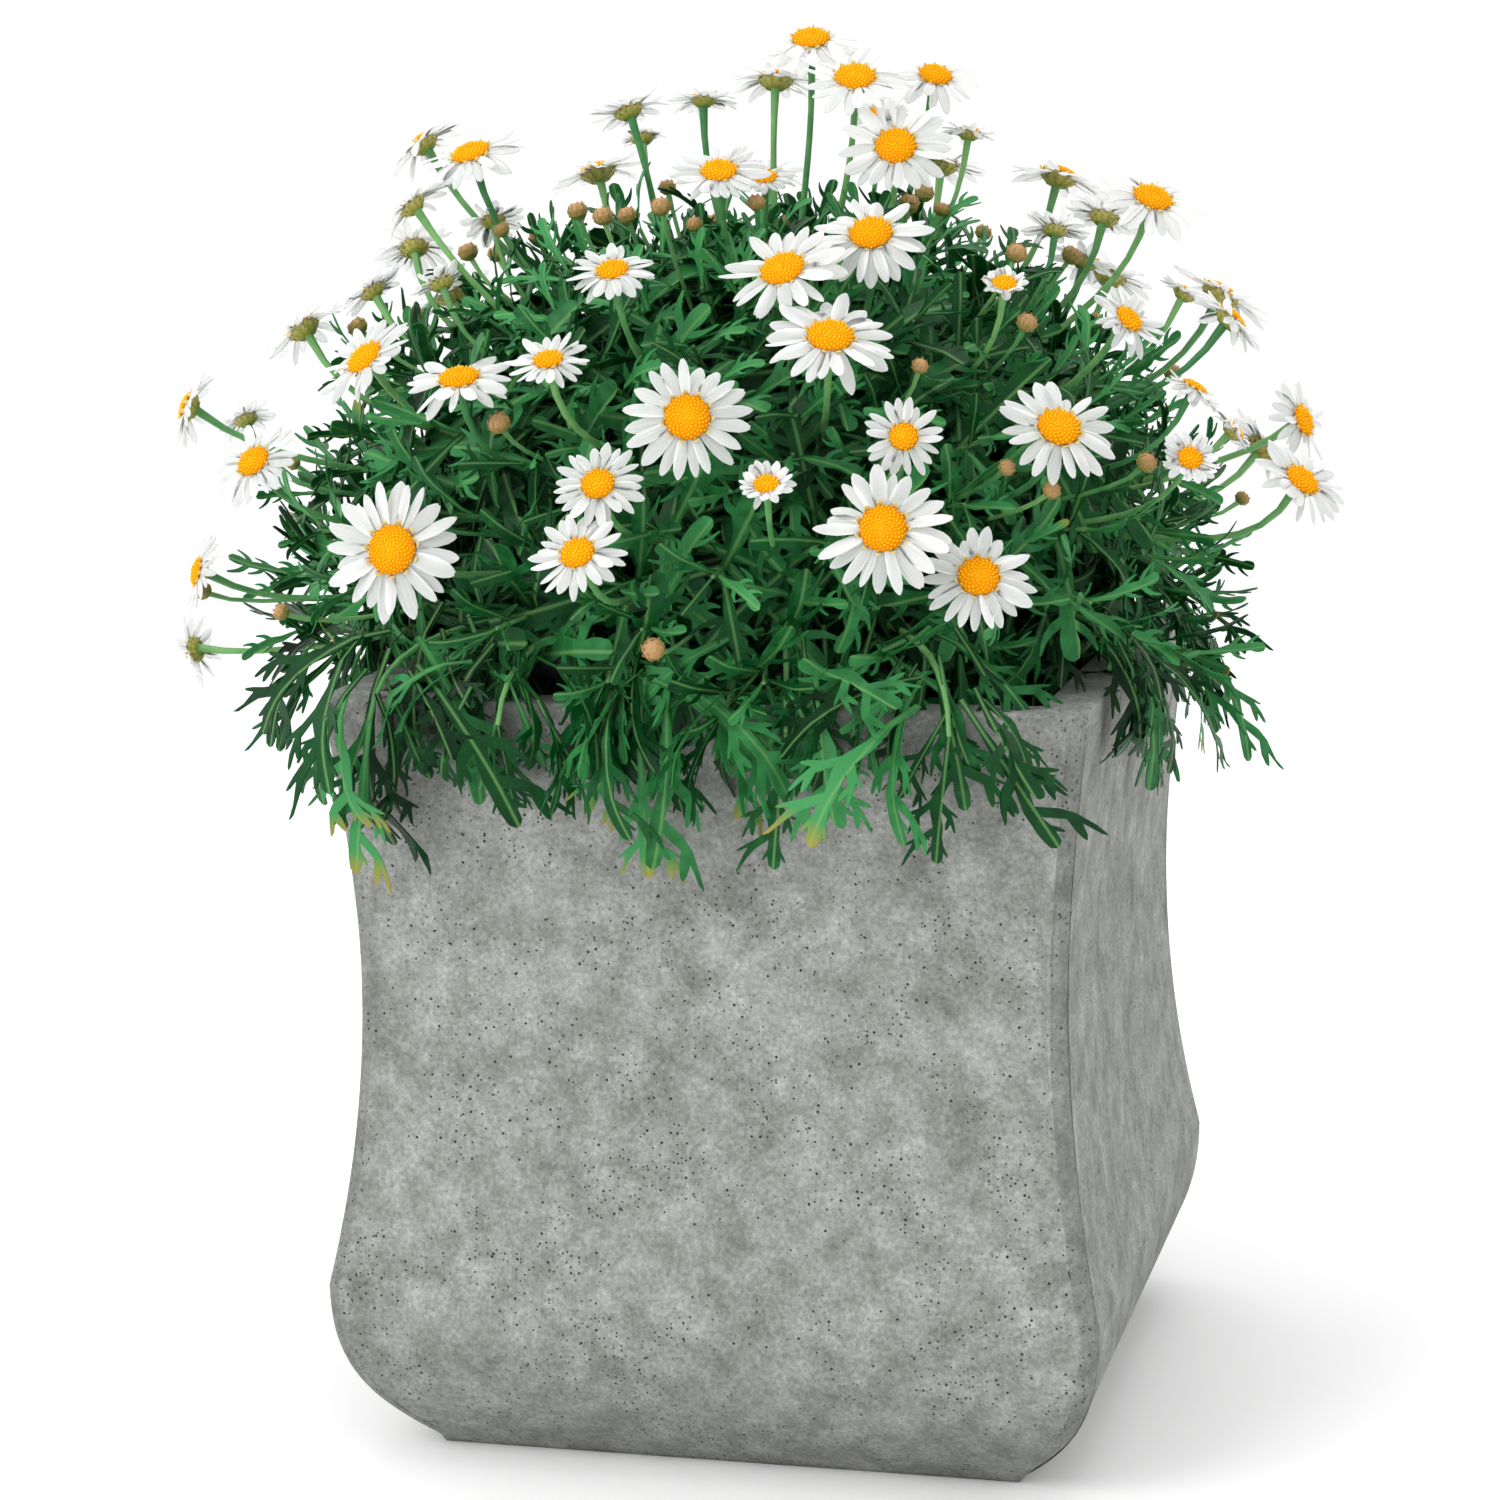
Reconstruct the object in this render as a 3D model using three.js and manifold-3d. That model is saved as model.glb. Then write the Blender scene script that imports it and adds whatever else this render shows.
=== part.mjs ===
// Planter box: a square concrete shell with swelling walls, and a daisy bush that lifts out in its nursery pot.
// Millimetres, +Z up. The origin is the centre of the shell's flat underside, and the front faces -Y.
import * as THREE from "three";
import { mergeVertices } from "three/addons/utils/BufferGeometryUtils.js";
import Module from "manifold-3d";

const wasm = await Module();
wasm.setup();

// ---------- driving dimensions ----------
const fitGap = 0.4; // between pieces that rest on or sit in each other
const shortestEdge = 0.1; // a join leaves no finer detail than this

// concrete shell, measured across the flats
const baseWidth = 306;
const bulgeWidth = 400;
const waistWidth = 365;
const topWidth = 389;
const height = 403;
const bulgeHeight = 95; // where the wall stands out furthest
const waistHeight = 257; // where it is drawn in furthest
const edgeRadius = 9; // of the four vertical edges
const rimRound = 2; // along the rim's outer edge
const wall = 14;
const floorThickness = 20;
const lipWidth = 26; // flat top of the rim
const lipDepth = 22;
const lipTaper = 16; // slope under the lip
const cavityEdgeRadius = 56;
const drainRadius = 8;
const drainOffset = 70; // from the middle, along X and along Y

// drainage in the floor of the shell
const matThickness = 3;
const matMargin = 5;

// nursery pot
const potMargin = 18; // between the pot's rim and the shell's lip
const potProud = 13; // height of the pot's rim over the shell's
const potHeight = 280;
const potTaper = 32; // how much narrower its base is in radius
const potWall = 2.5;
const potRimBand = 14;
const potRimLedge = 5;
const potDrainRadius = 6;
const potDrainCircle = 60;
const soilDrop = 12; // soil surface below the pot's rim

// bush, measured from the crown that its shoots spread from
const crownHeight = 23; // over the pot's rim
const crownRadius = 44;
const shootPlumpness = 0.22; // radius of a shoot for each millimetre from the crown
const stalkRadius = 2;
const knotRadius = 7; // where the stalks of a spray branch
const rimClearance = 22; // between the shell's rim and a leaf that arches over it

// Rows of shoots: how many there are, how steeply they rise in degrees, and how far they reach.
const shootRows = [
  { count: 10, rise: 20, reach: 250, turn: 0 },
  { count: 6, rise: 54, reach: 222, turn: 18 },
  { count: 1, rise: 90, reach: 200, turn: 0 },
];

// Leaves that hang over the rim. Side 0 is the front, 1 the right, 2 the back and 3 the left.
const hangingLeaves = [
  { side: 0, along: -155, drop: 85 },
  { side: 0, along: -90, drop: 62 },
  { side: 0, along: -20, drop: 92 },
  { side: 0, along: 52, drop: 80 },
  { side: 0, along: 130, drop: 74 },
  { side: 1, along: -105, drop: 46 },
  { side: 1, along: 60, drop: 58 },
  { side: 2, along: -110, drop: 66 },
  { side: 2, along: 0, drop: 84 },
  { side: 2, along: 115, drop: 54 },
  { side: 3, along: -70, drop: 60 },
  { side: 3, along: 80, drop: 72 },
];

// Daisies of the front half: place from the crown, [bearing, rise] that the face looks along, and width.
const frontDaisies = [
  [[20, 0, 285], [-80, 62], 52],
  [[-5, 25, 265], [90, 70], 48],
  [[50, -30, 265], [-76, 55], 56],
  [[80, 30, 265], [-60, 55], 46],
  [[45, 50, 245], [-80, 60], 32],
  [[75, -50, 230], [-80, 35], 56],
  [[95, 45, 235], [60, 75], 28],
  [[-45, 25, 255], [100, 75], 36],
  [[-80, 0, 250], [150, 60], 40],
  [[-85, 45, 235], [120, 65], 22],
  [[-5, -100, 220], [-80, 58], 48],
  [[5, -45, 215], [-80, 65], 30],
  [[-185, -30, 235], [170, 50], 44],
  [[-145, -70, 230], [-110, 62], 54],
  [[-170, -95, 205], [175, 45], 40],
  [[-142, -45, 195], [120, 55], 34],
  [[-195, -20, 180], [120, 50], 42],
  [[-155, -95, 165], [140, 55], 30],
  [[-200, -75, 160], [160, 50], 36],
  [[-245, -60, 140], [165, 50], 48],
  [[-180, -145, 130], [-125, 45], 54],
  [[-110, -205, 125], [-90, 66], 52],
  [[-60, -220, 135], [-90, 60], 38],
  [[-300, -90, 100], [-170, 22], 44],
  [[-285, -45, 90], [140, 55], 32],
  [[-250, -125, 75], [-110, 40], 48],
  [[-290, -110, 15], [-150, 15], 40],
  [[-315, -60, -35], [170, -15], 38],
  [[-40, -175, 175], [-90, 60], 42],
  [[45, -175, 175], [-100, 50], 58],
  [[80, -135, 190], [-85, 48], 56],
  [[75, -205, 145], [-70, 55], 60],
  [[15, -245, 110], [-78, 15], 58],
  [[-25, -260, 80], [-85, 35], 42],
  [[-30, -280, 50], [-95, 40], 44],
  [[-135, -240, 45], [-95, 15], 66],
  [[55, -255, 80], [-80, 55], 26],
  [[115, -230, 100], [-76, 25], 36],
  [[110, -255, 60], [-80, 20], 60],
  [[150, -230, 35], [-75, 30], 52],
  [[180, -180, 100], [-62, 42], 56],
  [[195, 30, 200], [-50, 55], 56],
  [[165, 60, 190], [70, 60], 42],
  [[145, 20, 185], [90, 60], 34],
  [[150, 90, 165], [60, 60], 40],
  [[145, -130, 165], [-70, 60], 22],
  [[200, -90, 145], [-30, 40], 40],
  [[210, 45, 150], [30, 55], 26],
  [[240, 0, 140], [20, 45], 46],
  [[230, -70, 110], [10, 60], 30],
  [[235, -125, 80], [-60, 35], 28],
  [[245, -30, 85], [10, 40], 22],
  [[275, 20, 85], [-20, 20], 44],
  [[280, -35, 60], [-35, 45], 50],
];

// Daisies of the back half: rows of a height over the crown and a reach from its axis, spread evenly.
const backDaisyRows = [
  { count: 5, from: 30, to: 150, rise: 12, reach: 285, width: 50 },
  { count: 5, from: 18, to: 155, rise: 32, reach: 280, width: 56 },
  { count: 4, from: 35, to: 140, rise: 52, reach: 268, width: 54 },
];

// ---------- colours ----------
const finish = (color, roughness) =>
  new THREE.MeshStandardMaterial({ color, roughness, metalness: 0 });
const concrete = finish("#a8aaa5", 0.85);
const meshPlastic = finish("#3a3d3a", 0.7);
const bakedClay = finish("#9a5a3c", 0.9);
const blackPlastic = finish("#17181a", 0.45);
const soil = finish("#35271d", 0.95);
const bark = finish("#7b4630", 0.85);
const greenWood = finish("#4d5a2e", 0.8);
const leafGreen = finish("#1d6a3a", 0.6);
const petalWhite = finish("#f4f4f2", 0.6);

// ---------- geometry helpers ----------
const up = new THREE.Vector3(0, 0, 1);
const radians = THREE.MathUtils.degToRad;

// Unit vector at a bearing from +X towards +Y and a rise over the ground, both in degrees.
function heading(bearing, rise) {
  const flat = Math.cos(radians(rise));
  return new THREE.Vector3(
    flat * Math.cos(radians(bearing)),
    flat * Math.sin(radians(bearing)),
    Math.sin(radians(rise)),
  );
}

// A geometry as a manifold solid, joined at its shared corners.
function solidOf(geometry) {
  const loose = geometry.index ? geometry.toNonIndexed() : geometry;
  const bare = new THREE.BufferGeometry();
  bare.setAttribute("position", loose.getAttribute("position"));
  const merged = mergeVertices(bare, 1e-3);
  return new wasm.Manifold(
    new wasm.Mesh({
      numProp: 3,
      vertProperties: merged.getAttribute("position").array,
      triVerts: new Uint32Array(merged.index.array),
    }),
  );
}

// A manifold solid as a geometry.
function geometryOf(solid) {
  const { vertProperties, triVerts } = solid.getMesh();
  const geometry = new THREE.BufferGeometry();
  geometry.setAttribute("position", new THREE.BufferAttribute(vertProperties, 3));
  geometry.setIndex(new THREE.BufferAttribute(triVerts, 1));
  return geometry;
}

// Closed skin through rings of equally many points, each ring turning left as the rings advance.
function loft(rings) {
  const corners = rings.flat();
  const sides = rings[0].length;
  const last = rings.length - 1;
  const faces = [];
  for (let side = 1; side < sides - 1; side++) {
    faces.push(0, side + 1, side);
    faces.push(last * sides, last * sides + side, last * sides + side + 1);
  }
  for (let ring = 0; ring < last; ring++)
    for (let side = 0; side < sides; side++) {
      const here = ring * sides + side;
      const next = ring * sides + ((side + 1) % sides);
      faces.push(here, next, next + sides, here, next + sides, here + sides);
    }
  return new THREE.BufferGeometry().setFromPoints(corners).setIndex(faces);
}

// Ring of a square with rounded corners, at one height.
function roundedSquare(half, radius, z, cornerSteps = 4) {
  const ring = [];
  for (let corner = 0; corner < 4; corner++)
    for (let step = 0; step <= cornerSteps; step++) {
      const angle = radians(90 * (corner + step / cornerSteps));
      const centreX = (half - radius) * (corner === 0 || corner === 3 ? 1 : -1);
      const centreY = (half - radius) * (corner < 2 ? 1 : -1);
      ring.push(
        new THREE.Vector3(
          centreX + radius * Math.cos(angle),
          centreY + radius * Math.sin(angle),
          z,
        ),
      );
    }
  return ring;
}

// Solid of revolution about +Z from [radius, height] pairs that start and end on the axis.
function turned(profile, segments) {
  const points = profile.map(([radius, z]) => new THREE.Vector2(radius, z));
  return new THREE.LatheGeometry(points, segments).rotateX(Math.PI / 2);
}

// Upright cylinder from one height to another.
function rod(radius, x, y, low, high, segments) {
  return new THREE.CylinderGeometry(radius, radius, high - low, segments)
    .rotateX(Math.PI / 2)
    .translate(x, y, (low + high) / 2);
}

// ---------- concrete shell ----------
const lipHalf = topWidth / 2 - lipWidth;

// Wall outline as points (half width, height): out from the base, round the bulge, in to the waist, out to the top.
function wallOutline() {
  const base = new THREE.Vector2(baseWidth / 2, 0);
  const bulge = new THREE.Vector2(bulgeWidth / 2, bulgeHeight);
  const waist = new THREE.Vector2(waistWidth / 2, waistHeight);
  const top = new THREE.Vector2(topWidth / 2, height);
  const waistRun = waist.y - bulge.y;
  const topRun = top.y - waist.y;
  const at = (x, y) => new THREE.Vector2(x, y);
  const belly = new THREE.CubicBezierCurve(
    base,
    at(base.x + 0.57 * (bulge.x - base.x), 0.26 * bulge.y),
    at(bulge.x, 0.47 * bulge.y),
    bulge,
  );
  const drawnIn = new THREE.CubicBezierCurve(
    bulge,
    at(bulge.x, bulge.y + 0.03 * waistRun),
    at(waist.x, waist.y - 0.57 * waistRun),
    waist,
  );
  const flare = new THREE.CubicBezierCurve(
    waist,
    at(waist.x, waist.y + 0.34 * topRun),
    at(top.x - 0.38 * (top.x - waist.x), top.y - 0.28 * topRun),
    top,
  );
  return [
    ...belly.getPoints(8),
    ...drawnIn.getPoints(7).slice(1),
    ...flare.getPoints(6).slice(1),
  ];
}
const outline = wallOutline();

// Half width of the outside of the wall at a height.
function halfWidthAt(z) {
  const above = Math.max(1, outline.findIndex((point) => point.y >= z));
  const [low, high] = [outline[above - 1], outline[above]];
  return THREE.MathUtils.mapLinear(z, low.y, high.y, low.x, high.x);
}

// Rings of the space inside the wall between two heights, drawn in by an inset.
function cavityRings(low, high, inset) {
  const between = outline.map((point) => point.y).filter((z) => z > low && z < high);
  return [low, ...between, high].map((z) =>
    roundedSquare(halfWidthAt(z) - wall - inset, cavityEdgeRadius - inset, z),
  );
}

function planterShell() {
  const rimArc = [30, 60, 90].map((angle) => ({
    half: topWidth / 2 - rimRound * (1 - Math.cos(radians(angle))),
    z: height - rimRound * (1 - Math.sin(radians(angle))),
  }));
  const wallRings = outline
    .filter((point) => point.y < height - rimRound)
    .map((point) => roundedSquare(point.x, edgeRadius, point.y));
  const rimRings = rimArc.map(({ half, z }) => roundedSquare(half, edgeRadius, z));
  let shell = solidOf(loft([...wallRings, ...rimRings]));
  const hollow = [
    ...cavityRings(floorThickness, height - lipDepth - lipTaper, 0),
    roundedSquare(lipHalf, cavityEdgeRadius, height - lipDepth),
    roundedSquare(lipHalf, cavityEdgeRadius, height + 1),
  ];
  shell = shell.subtract(solidOf(loft(hollow)));
  for (const x of [-drainOffset, drainOffset])
    for (const y of [-drainOffset, drainOffset])
      shell = shell.subtract(solidOf(rod(drainRadius, x, y, -1, floorThickness + 1, 16)));
  return geometryOf(shell);
}

// ---------- drainage ----------
const matLow = floorThickness + fitGap;
const matHigh = matLow + matThickness;

function drainMat() {
  const half = halfWidthAt(floorThickness) - wall - matMargin;
  const ring = (z) => roundedSquare(half, cavityEdgeRadius - matMargin, z);
  let mat = solidOf(loft([ring(matLow), ring(matHigh)]));
  for (const x of [-drainOffset, drainOffset])
    for (const y of [-drainOffset, drainOffset])
      mat = mat.subtract(solidOf(rod(drainRadius, x, y, matLow - 1, matHigh + 1, 16)));
  return geometryOf(mat);
}

// ---------- nursery pot ----------
const potRim = height + potProud;
const potLow = potRim - potHeight;
const potRimRadius = Math.min(lipHalf, waistWidth / 2 - wall) - potMargin;
const potBodyRadius = potRimRadius - potRimLedge;
const potBaseRadius = potBodyRadius - potTaper;
const potFloor = potLow + potWall;
const roundSegments = 32;

// Inner radius of the pot's tapered wall at a height.
function potInsideAt(z) {
  const low = potBaseRadius - potWall;
  return THREE.MathUtils.mapLinear(z, potLow, potRim, low, potBodyRadius - potWall);
}

function nurseryPot() {
  let pot = solidOf(
    turned(
      [
        [0, potLow],
        [potBaseRadius, potLow],
        [potInsideAt(potRim - potRimBand) + potWall, potRim - potRimBand],
        [potRimRadius, potRim - potRimBand],
        [potRimRadius, potRim],
        [potInsideAt(potRim), potRim],
        [potInsideAt(potFloor), potFloor],
        [0, potFloor],
      ],
      roundSegments,
    ),
  );
  for (let hole = 0; hole < 4; hole++) {
    const place = heading(45 + 90 * hole, 0).multiplyScalar(potDrainCircle);
    pot = pot.subtract(
      solidOf(rod(potDrainRadius, place.x, place.y, potLow - 1, potFloor + 1, 12)),
    );
  }
  return geometryOf(pot);
}

const clayPebbles = () =>
  loft(cavityRings(matHigh + fitGap, potLow - fitGap, fitGap));

const soilTop = potRim - soilDrop;
const pottingSoil = () =>
  turned(
    [
      [0, potFloor + fitGap],
      [potInsideAt(potFloor + fitGap) - fitGap, potFloor + fitGap],
      [potInsideAt(soilTop) - fitGap, soilTop],
      [0, soilTop],
    ],
    roundSegments,
  );

// ---------- bush ----------
const crownZ = potRim + crownHeight;

// Knob of old wood: a ball cut off flat where it stands on the soil.
function woodyCrown() {
  const low = soilTop + fitGap - crownZ;
  const startAngle = Math.asin(low / crownRadius);
  const steps = 7;
  const profile = [[0, low]];
  for (let step = 0; step < steps; step++) {
    const angle = THREE.MathUtils.lerp(startAngle, Math.PI / 2, step / steps);
    profile.push([crownRadius * Math.cos(angle), crownRadius * Math.sin(angle)]);
  }
  return turned([...profile, [0, crownRadius]], 16);
}

const shoots = shootRows.flatMap(({ count, rise, reach, turn }) =>
  Array.from({ length: count }, (_, n) => ({
    direction: heading(turn + (360 * n) / count, rise),
    reach,
  })),
);

// Shoot with its leaves as one plump cone with a round tip, along +Z from the crown.
function leafyShoot(reach) {
  const start = crownRadius + 3;
  const shoulder = 0.8 * reach;
  return turned(
    [
      [0, start],
      [start * shootPlumpness, start],
      [shoulder * shootPlumpness, shoulder],
      [0.95 * shoulder * shootPlumpness, 0.9 * reach],
      [0.55 * shoulder * shootPlumpness, 0.975 * reach],
      [0, reach],
    ],
    8,
  );
}

// Leaf that leaves the pot, arches over the rim and hangs down outside the wall.
function hangingLeaf({ side, along, drop }) {
  const rimHalf = topWidth / 2;
  const arch = potRim + 16;
  const route = new THREE.CatmullRomCurve3([
    new THREE.Vector3(0.5 * along, -0.62 * rimHalf, arch - 4),
    new THREE.Vector3(0.8 * along, -0.9 * rimHalf, arch + 2),
    new THREE.Vector3(along, -rimHalf - 0.6 * rimClearance, height + rimClearance - 8),
    new THREE.Vector3(1.02 * along, -rimHalf - rimClearance, height - 0.35 * drop),
    new THREE.Vector3(1.03 * along, -rimHalf - 0.75 * rimClearance, height - drop),
  ]);
  const stations = 6;
  const rings = [];
  for (let station = 0; station <= stations; station++) {
    const t = station / stations;
    const middle = route.getPointAt(t);
    const across = new THREE.Vector3(1, 0, 0);
    const flat = across.clone().cross(route.getTangentAt(t)).normalize();
    const halfWidth = 4 + 11 * Math.sin(Math.PI * Math.min(1, 0.1 + 0.85 * t));
    rings.push(
      Array.from({ length: 6 }, (_, n) => {
        const angle = (-2 * Math.PI * n) / 6;
        return middle
          .clone()
          .addScaledVector(across, halfWidth * Math.cos(angle))
          .addScaledVector(flat, 3.5 * Math.sin(angle));
      }),
    );
  }
  return loft(rings).rotateZ((side * Math.PI) / 2);
}

const backDaisies = backDaisyRows.flatMap(({ count, from, to, rise, reach, width }) =>
  Array.from({ length: count }, (_, n) => {
    const bearing = THREE.MathUtils.lerp(from, to, n / (count - 1));
    const place = heading(bearing, rise).multiplyScalar(reach + 6 * (n % 2));
    return [place.toArray(), [bearing + 8, Math.min(70, rise + 25)], width - 5 * (n % 3)];
  }),
);

const daisies = [...frontDaisies, ...backDaisies].map(([place, [bearing, rise], width]) => ({
  place: new THREE.Vector3(...place),
  facing: heading(bearing, rise),
  width,
}));

// Flower head about its own +Z: a cone-shaped cup under a flat disc of rays.
function daisyHead(width) {
  return turned(
    [
      [0, -12],
      [0.16 * width, -8],
      [width / 2, -2],
      [width / 2, 0],
      [0, 4],
    ],
    8,
  );
}

// Curved stalk from the knot where a spray branches up into the cup of a flower.
function daisyStalk(knot, { place, facing }) {
  const end = place.clone().addScaledVector(facing, -8);
  const outward = end.clone().sub(knot);
  const reach = 0.38 * outward.length();
  outward.normalize();
  const route = new THREE.CubicBezierCurve3(
    knot.clone().addScaledVector(outward, stalkRadius),
    knot.clone().addScaledVector(outward, reach),
    end.clone().addScaledVector(facing, -reach),
    end,
  );
  const corners = Array.from({ length: 5 }, (_, n) => {
    const angle = (2 * Math.PI * n) / 5;
    return new THREE.Vector2(stalkRadius * Math.cos(angle), stalkRadius * Math.sin(angle));
  });
  return new THREE.ExtrudeGeometry(new THREE.Shape(corners), {
    steps: 4,
    bevelEnabled: false,
    extrudePath: route,
  });
}

// All the flowers that grow from one shoot, with their stalks, as one solid.
function flowerSpray({ direction, reach }, flowers) {
  const knot = direction.clone().multiplyScalar(reach + knotRadius + fitGap);
  let spray = solidOf(new THREE.IcosahedronGeometry(knotRadius, 1).translate(...knot));
  for (const flower of flowers) {
    const turn = new THREE.Quaternion().setFromUnitVectors(up, flower.facing);
    const head = daisyHead(flower.width).applyQuaternion(turn).translate(...flower.place);
    spray = spray.add(solidOf(daisyStalk(knot, flower))).add(solidOf(head));
  }
  return geometryOf(spray.asOriginal().simplify(shortestEdge));
}

// The shoot whose direction is closest to a flower's place.
function nearestShoot({ place }) {
  const closeness = (shoot) => place.clone().normalize().dot(shoot.direction);
  return shoots.reduce((best, shoot) => (closeness(shoot) > closeness(best) ? shoot : best));
}

// Chip of bark: an uneven five-sided slab.
function barkChip(length, breadth) {
  const outlineOfChip = new THREE.Shape([
    new THREE.Vector2(-0.5 * length, -0.2 * breadth),
    new THREE.Vector2(-0.1 * length, -0.5 * breadth),
    new THREE.Vector2(0.5 * length, -0.3 * breadth),
    new THREE.Vector2(0.42 * length, 0.35 * breadth),
    new THREE.Vector2(-0.3 * length, 0.5 * breadth),
  ]);
  return new THREE.ExtrudeGeometry(outlineOfChip, { depth: 6, bevelEnabled: false });
}
const barkChips = [
  { bearing: -118, out: 122, length: 34, breadth: 18, turn: 20 },
  { bearing: -92, out: 120, length: 26, breadth: 15, turn: -35 },
  { bearing: -60, out: 116, length: 30, breadth: 16, turn: 75 },
  { bearing: 40, out: 118, length: 28, breadth: 17, turn: 10 },
  { bearing: 160, out: 114, length: 32, breadth: 16, turn: 50 },
];

// ---------- assembly ----------
const planter = new THREE.Group();
const numbered = (name, n) => `${name}_${String(n + 1).padStart(2, "0")}`;

function addPiece(parent, name, geometry, material) {
  const piece = new THREE.Mesh(geometry, material);
  piece.name = name;
  parent.add(piece);
  return piece;
}

addPiece(planter, "planter_shell", planterShell(), concrete);
addPiece(planter, "drain_mat", drainMat(), meshPlastic);
addPiece(planter, "clay_pebble_layer", clayPebbles(), bakedClay);

const insert = new THREE.Group();
planter.add(insert);
addPiece(insert, "nursery_pot", nurseryPot(), blackPlastic);
addPiece(insert, "potting_soil", pottingSoil(), soil);
barkChips.forEach(({ bearing, out, length, breadth, turn }, n) => {
  const chip = addPiece(insert, numbered("bark_chip", n), barkChip(length, breadth), bark);
  chip.position.copy(heading(bearing, 0).multiplyScalar(Math.min(out, potBodyRadius - 25)));
  chip.position.z = soilTop + fitGap;
  chip.rotation.z = radians(turn);
});

const bush = new THREE.Group();
bush.position.z = crownZ;
insert.add(bush);
addPiece(bush, "woody_crown", woodyCrown(), greenWood);
shoots.forEach((shoot, n) => {
  const cone = addPiece(bush, numbered("leafy_shoot", n), leafyShoot(shoot.reach), leafGreen);
  cone.quaternion.setFromUnitVectors(up, shoot.direction);
});
hangingLeaves.forEach((leaf, n) => {
  addPiece(insert, numbered("hanging_leaf", n), hangingLeaf(leaf), leafGreen);
});
shoots.forEach((shoot, n) => {
  const flowers = daisies.filter((daisy) => nearestShoot(daisy) === shoot);
  if (flowers.length > 0)
    addPiece(bush, numbered("flower_spray", n), flowerSpray(shoot, flowers), petalWhite);
});

export default planter;
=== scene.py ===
"""Looks of a square fibre-concrete planter box and of the daisy bush that lifts out of it in its nursery pot.

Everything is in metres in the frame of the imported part: +Z up, the front towards -Y, and the origin in the
middle of the shell's flat underside.
"""
import logging
import math
import random
from dataclasses import dataclass
from enum import Enum, IntEnum

import bmesh
import bpy
from bmesh.types import BMEdge, BMesh, BMFace, BMVert
from bpy.types import Material, Mesh, Node, NodeSocket, NodeTree, Object
from mathutils import Matrix, Vector, noise


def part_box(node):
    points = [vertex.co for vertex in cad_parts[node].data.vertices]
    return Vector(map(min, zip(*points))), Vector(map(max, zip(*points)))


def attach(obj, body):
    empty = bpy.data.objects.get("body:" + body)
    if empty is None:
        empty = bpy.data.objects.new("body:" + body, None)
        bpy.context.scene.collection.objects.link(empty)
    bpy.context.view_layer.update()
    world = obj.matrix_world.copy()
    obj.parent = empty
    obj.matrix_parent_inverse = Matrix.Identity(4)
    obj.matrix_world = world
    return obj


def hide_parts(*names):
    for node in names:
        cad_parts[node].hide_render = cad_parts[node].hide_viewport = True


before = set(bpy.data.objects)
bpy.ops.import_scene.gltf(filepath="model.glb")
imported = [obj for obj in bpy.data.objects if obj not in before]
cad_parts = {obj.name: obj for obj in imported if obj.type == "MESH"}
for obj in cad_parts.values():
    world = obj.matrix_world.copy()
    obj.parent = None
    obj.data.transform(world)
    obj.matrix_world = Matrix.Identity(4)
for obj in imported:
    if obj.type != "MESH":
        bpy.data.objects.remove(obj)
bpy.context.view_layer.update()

log = logging.getLogger("planter")
MM = 0.001
UP = Vector((0, 0, 1))
GOLDEN = math.radians(137.508)  # the turn from one leaf or floret to the next
MERGE = 1e-6  # vertices that are closer than this are one
LEVEL = 1e-5  # heights that differ by less than this are the same


class Body(str, Enum):
    """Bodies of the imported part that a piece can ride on."""

    SHELL = "shell"
    INSERT = "insert"


class Side(Enum):
    """Walls of the planter, with the turn in degrees from the front wall to each."""

    FRONT = 0
    RIGHT = 90
    BACK = 180
    LEFT = 270


class Leafy(IntEnum):
    """Material slots of a leafy piece."""

    BLADE = 0
    STEM = 1


class Bloom(IntEnum):
    """Material slots of a flowering piece."""

    RAY = 0
    DISC = 1
    CUP = 2
    STALK = 3
    BUD = 4


# ---------------------------------------------------------------- shader helpers


def linear(hex_colour: str) -> tuple[float, float, float, float]:
    """Turns an sRGB colour into the linear one that shaders take.

    Args:
        hex_colour: Colour as "#rrggbb".

    Returns:
        Linear red, green, blue and an alpha of 1.
    """
    channels = [int(hex_colour[i : i + 2], 16) / 255 for i in (1, 3, 5)]
    return tuple(c / 12.92 if c <= 0.04045 else ((c + 0.055) / 1.055) ** 2.4 for c in channels) + (1.0,)


def add_node(tree: NodeTree, kind: str, inputs: dict | None = None, **settings: object) -> Node:
    """Adds a shader node with its settings, values and links.

    Args:
        tree: Node tree of a material.
        kind: Node type without its "ShaderNode" prefix.
        inputs: Socket name or index to a value, or to the output socket that feeds it.
        settings: Properties of the node itself.

    Returns:
        The new node.
    """
    node = tree.nodes.new("ShaderNode" + kind)
    for name, value in settings.items():
        setattr(node, name, value)
    for name, value in (inputs or {}).items():
        if isinstance(value, NodeSocket):
            tree.links.new(value, node.inputs[name])
        else:
            node.inputs[name].default_value = value
    return node


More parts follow.
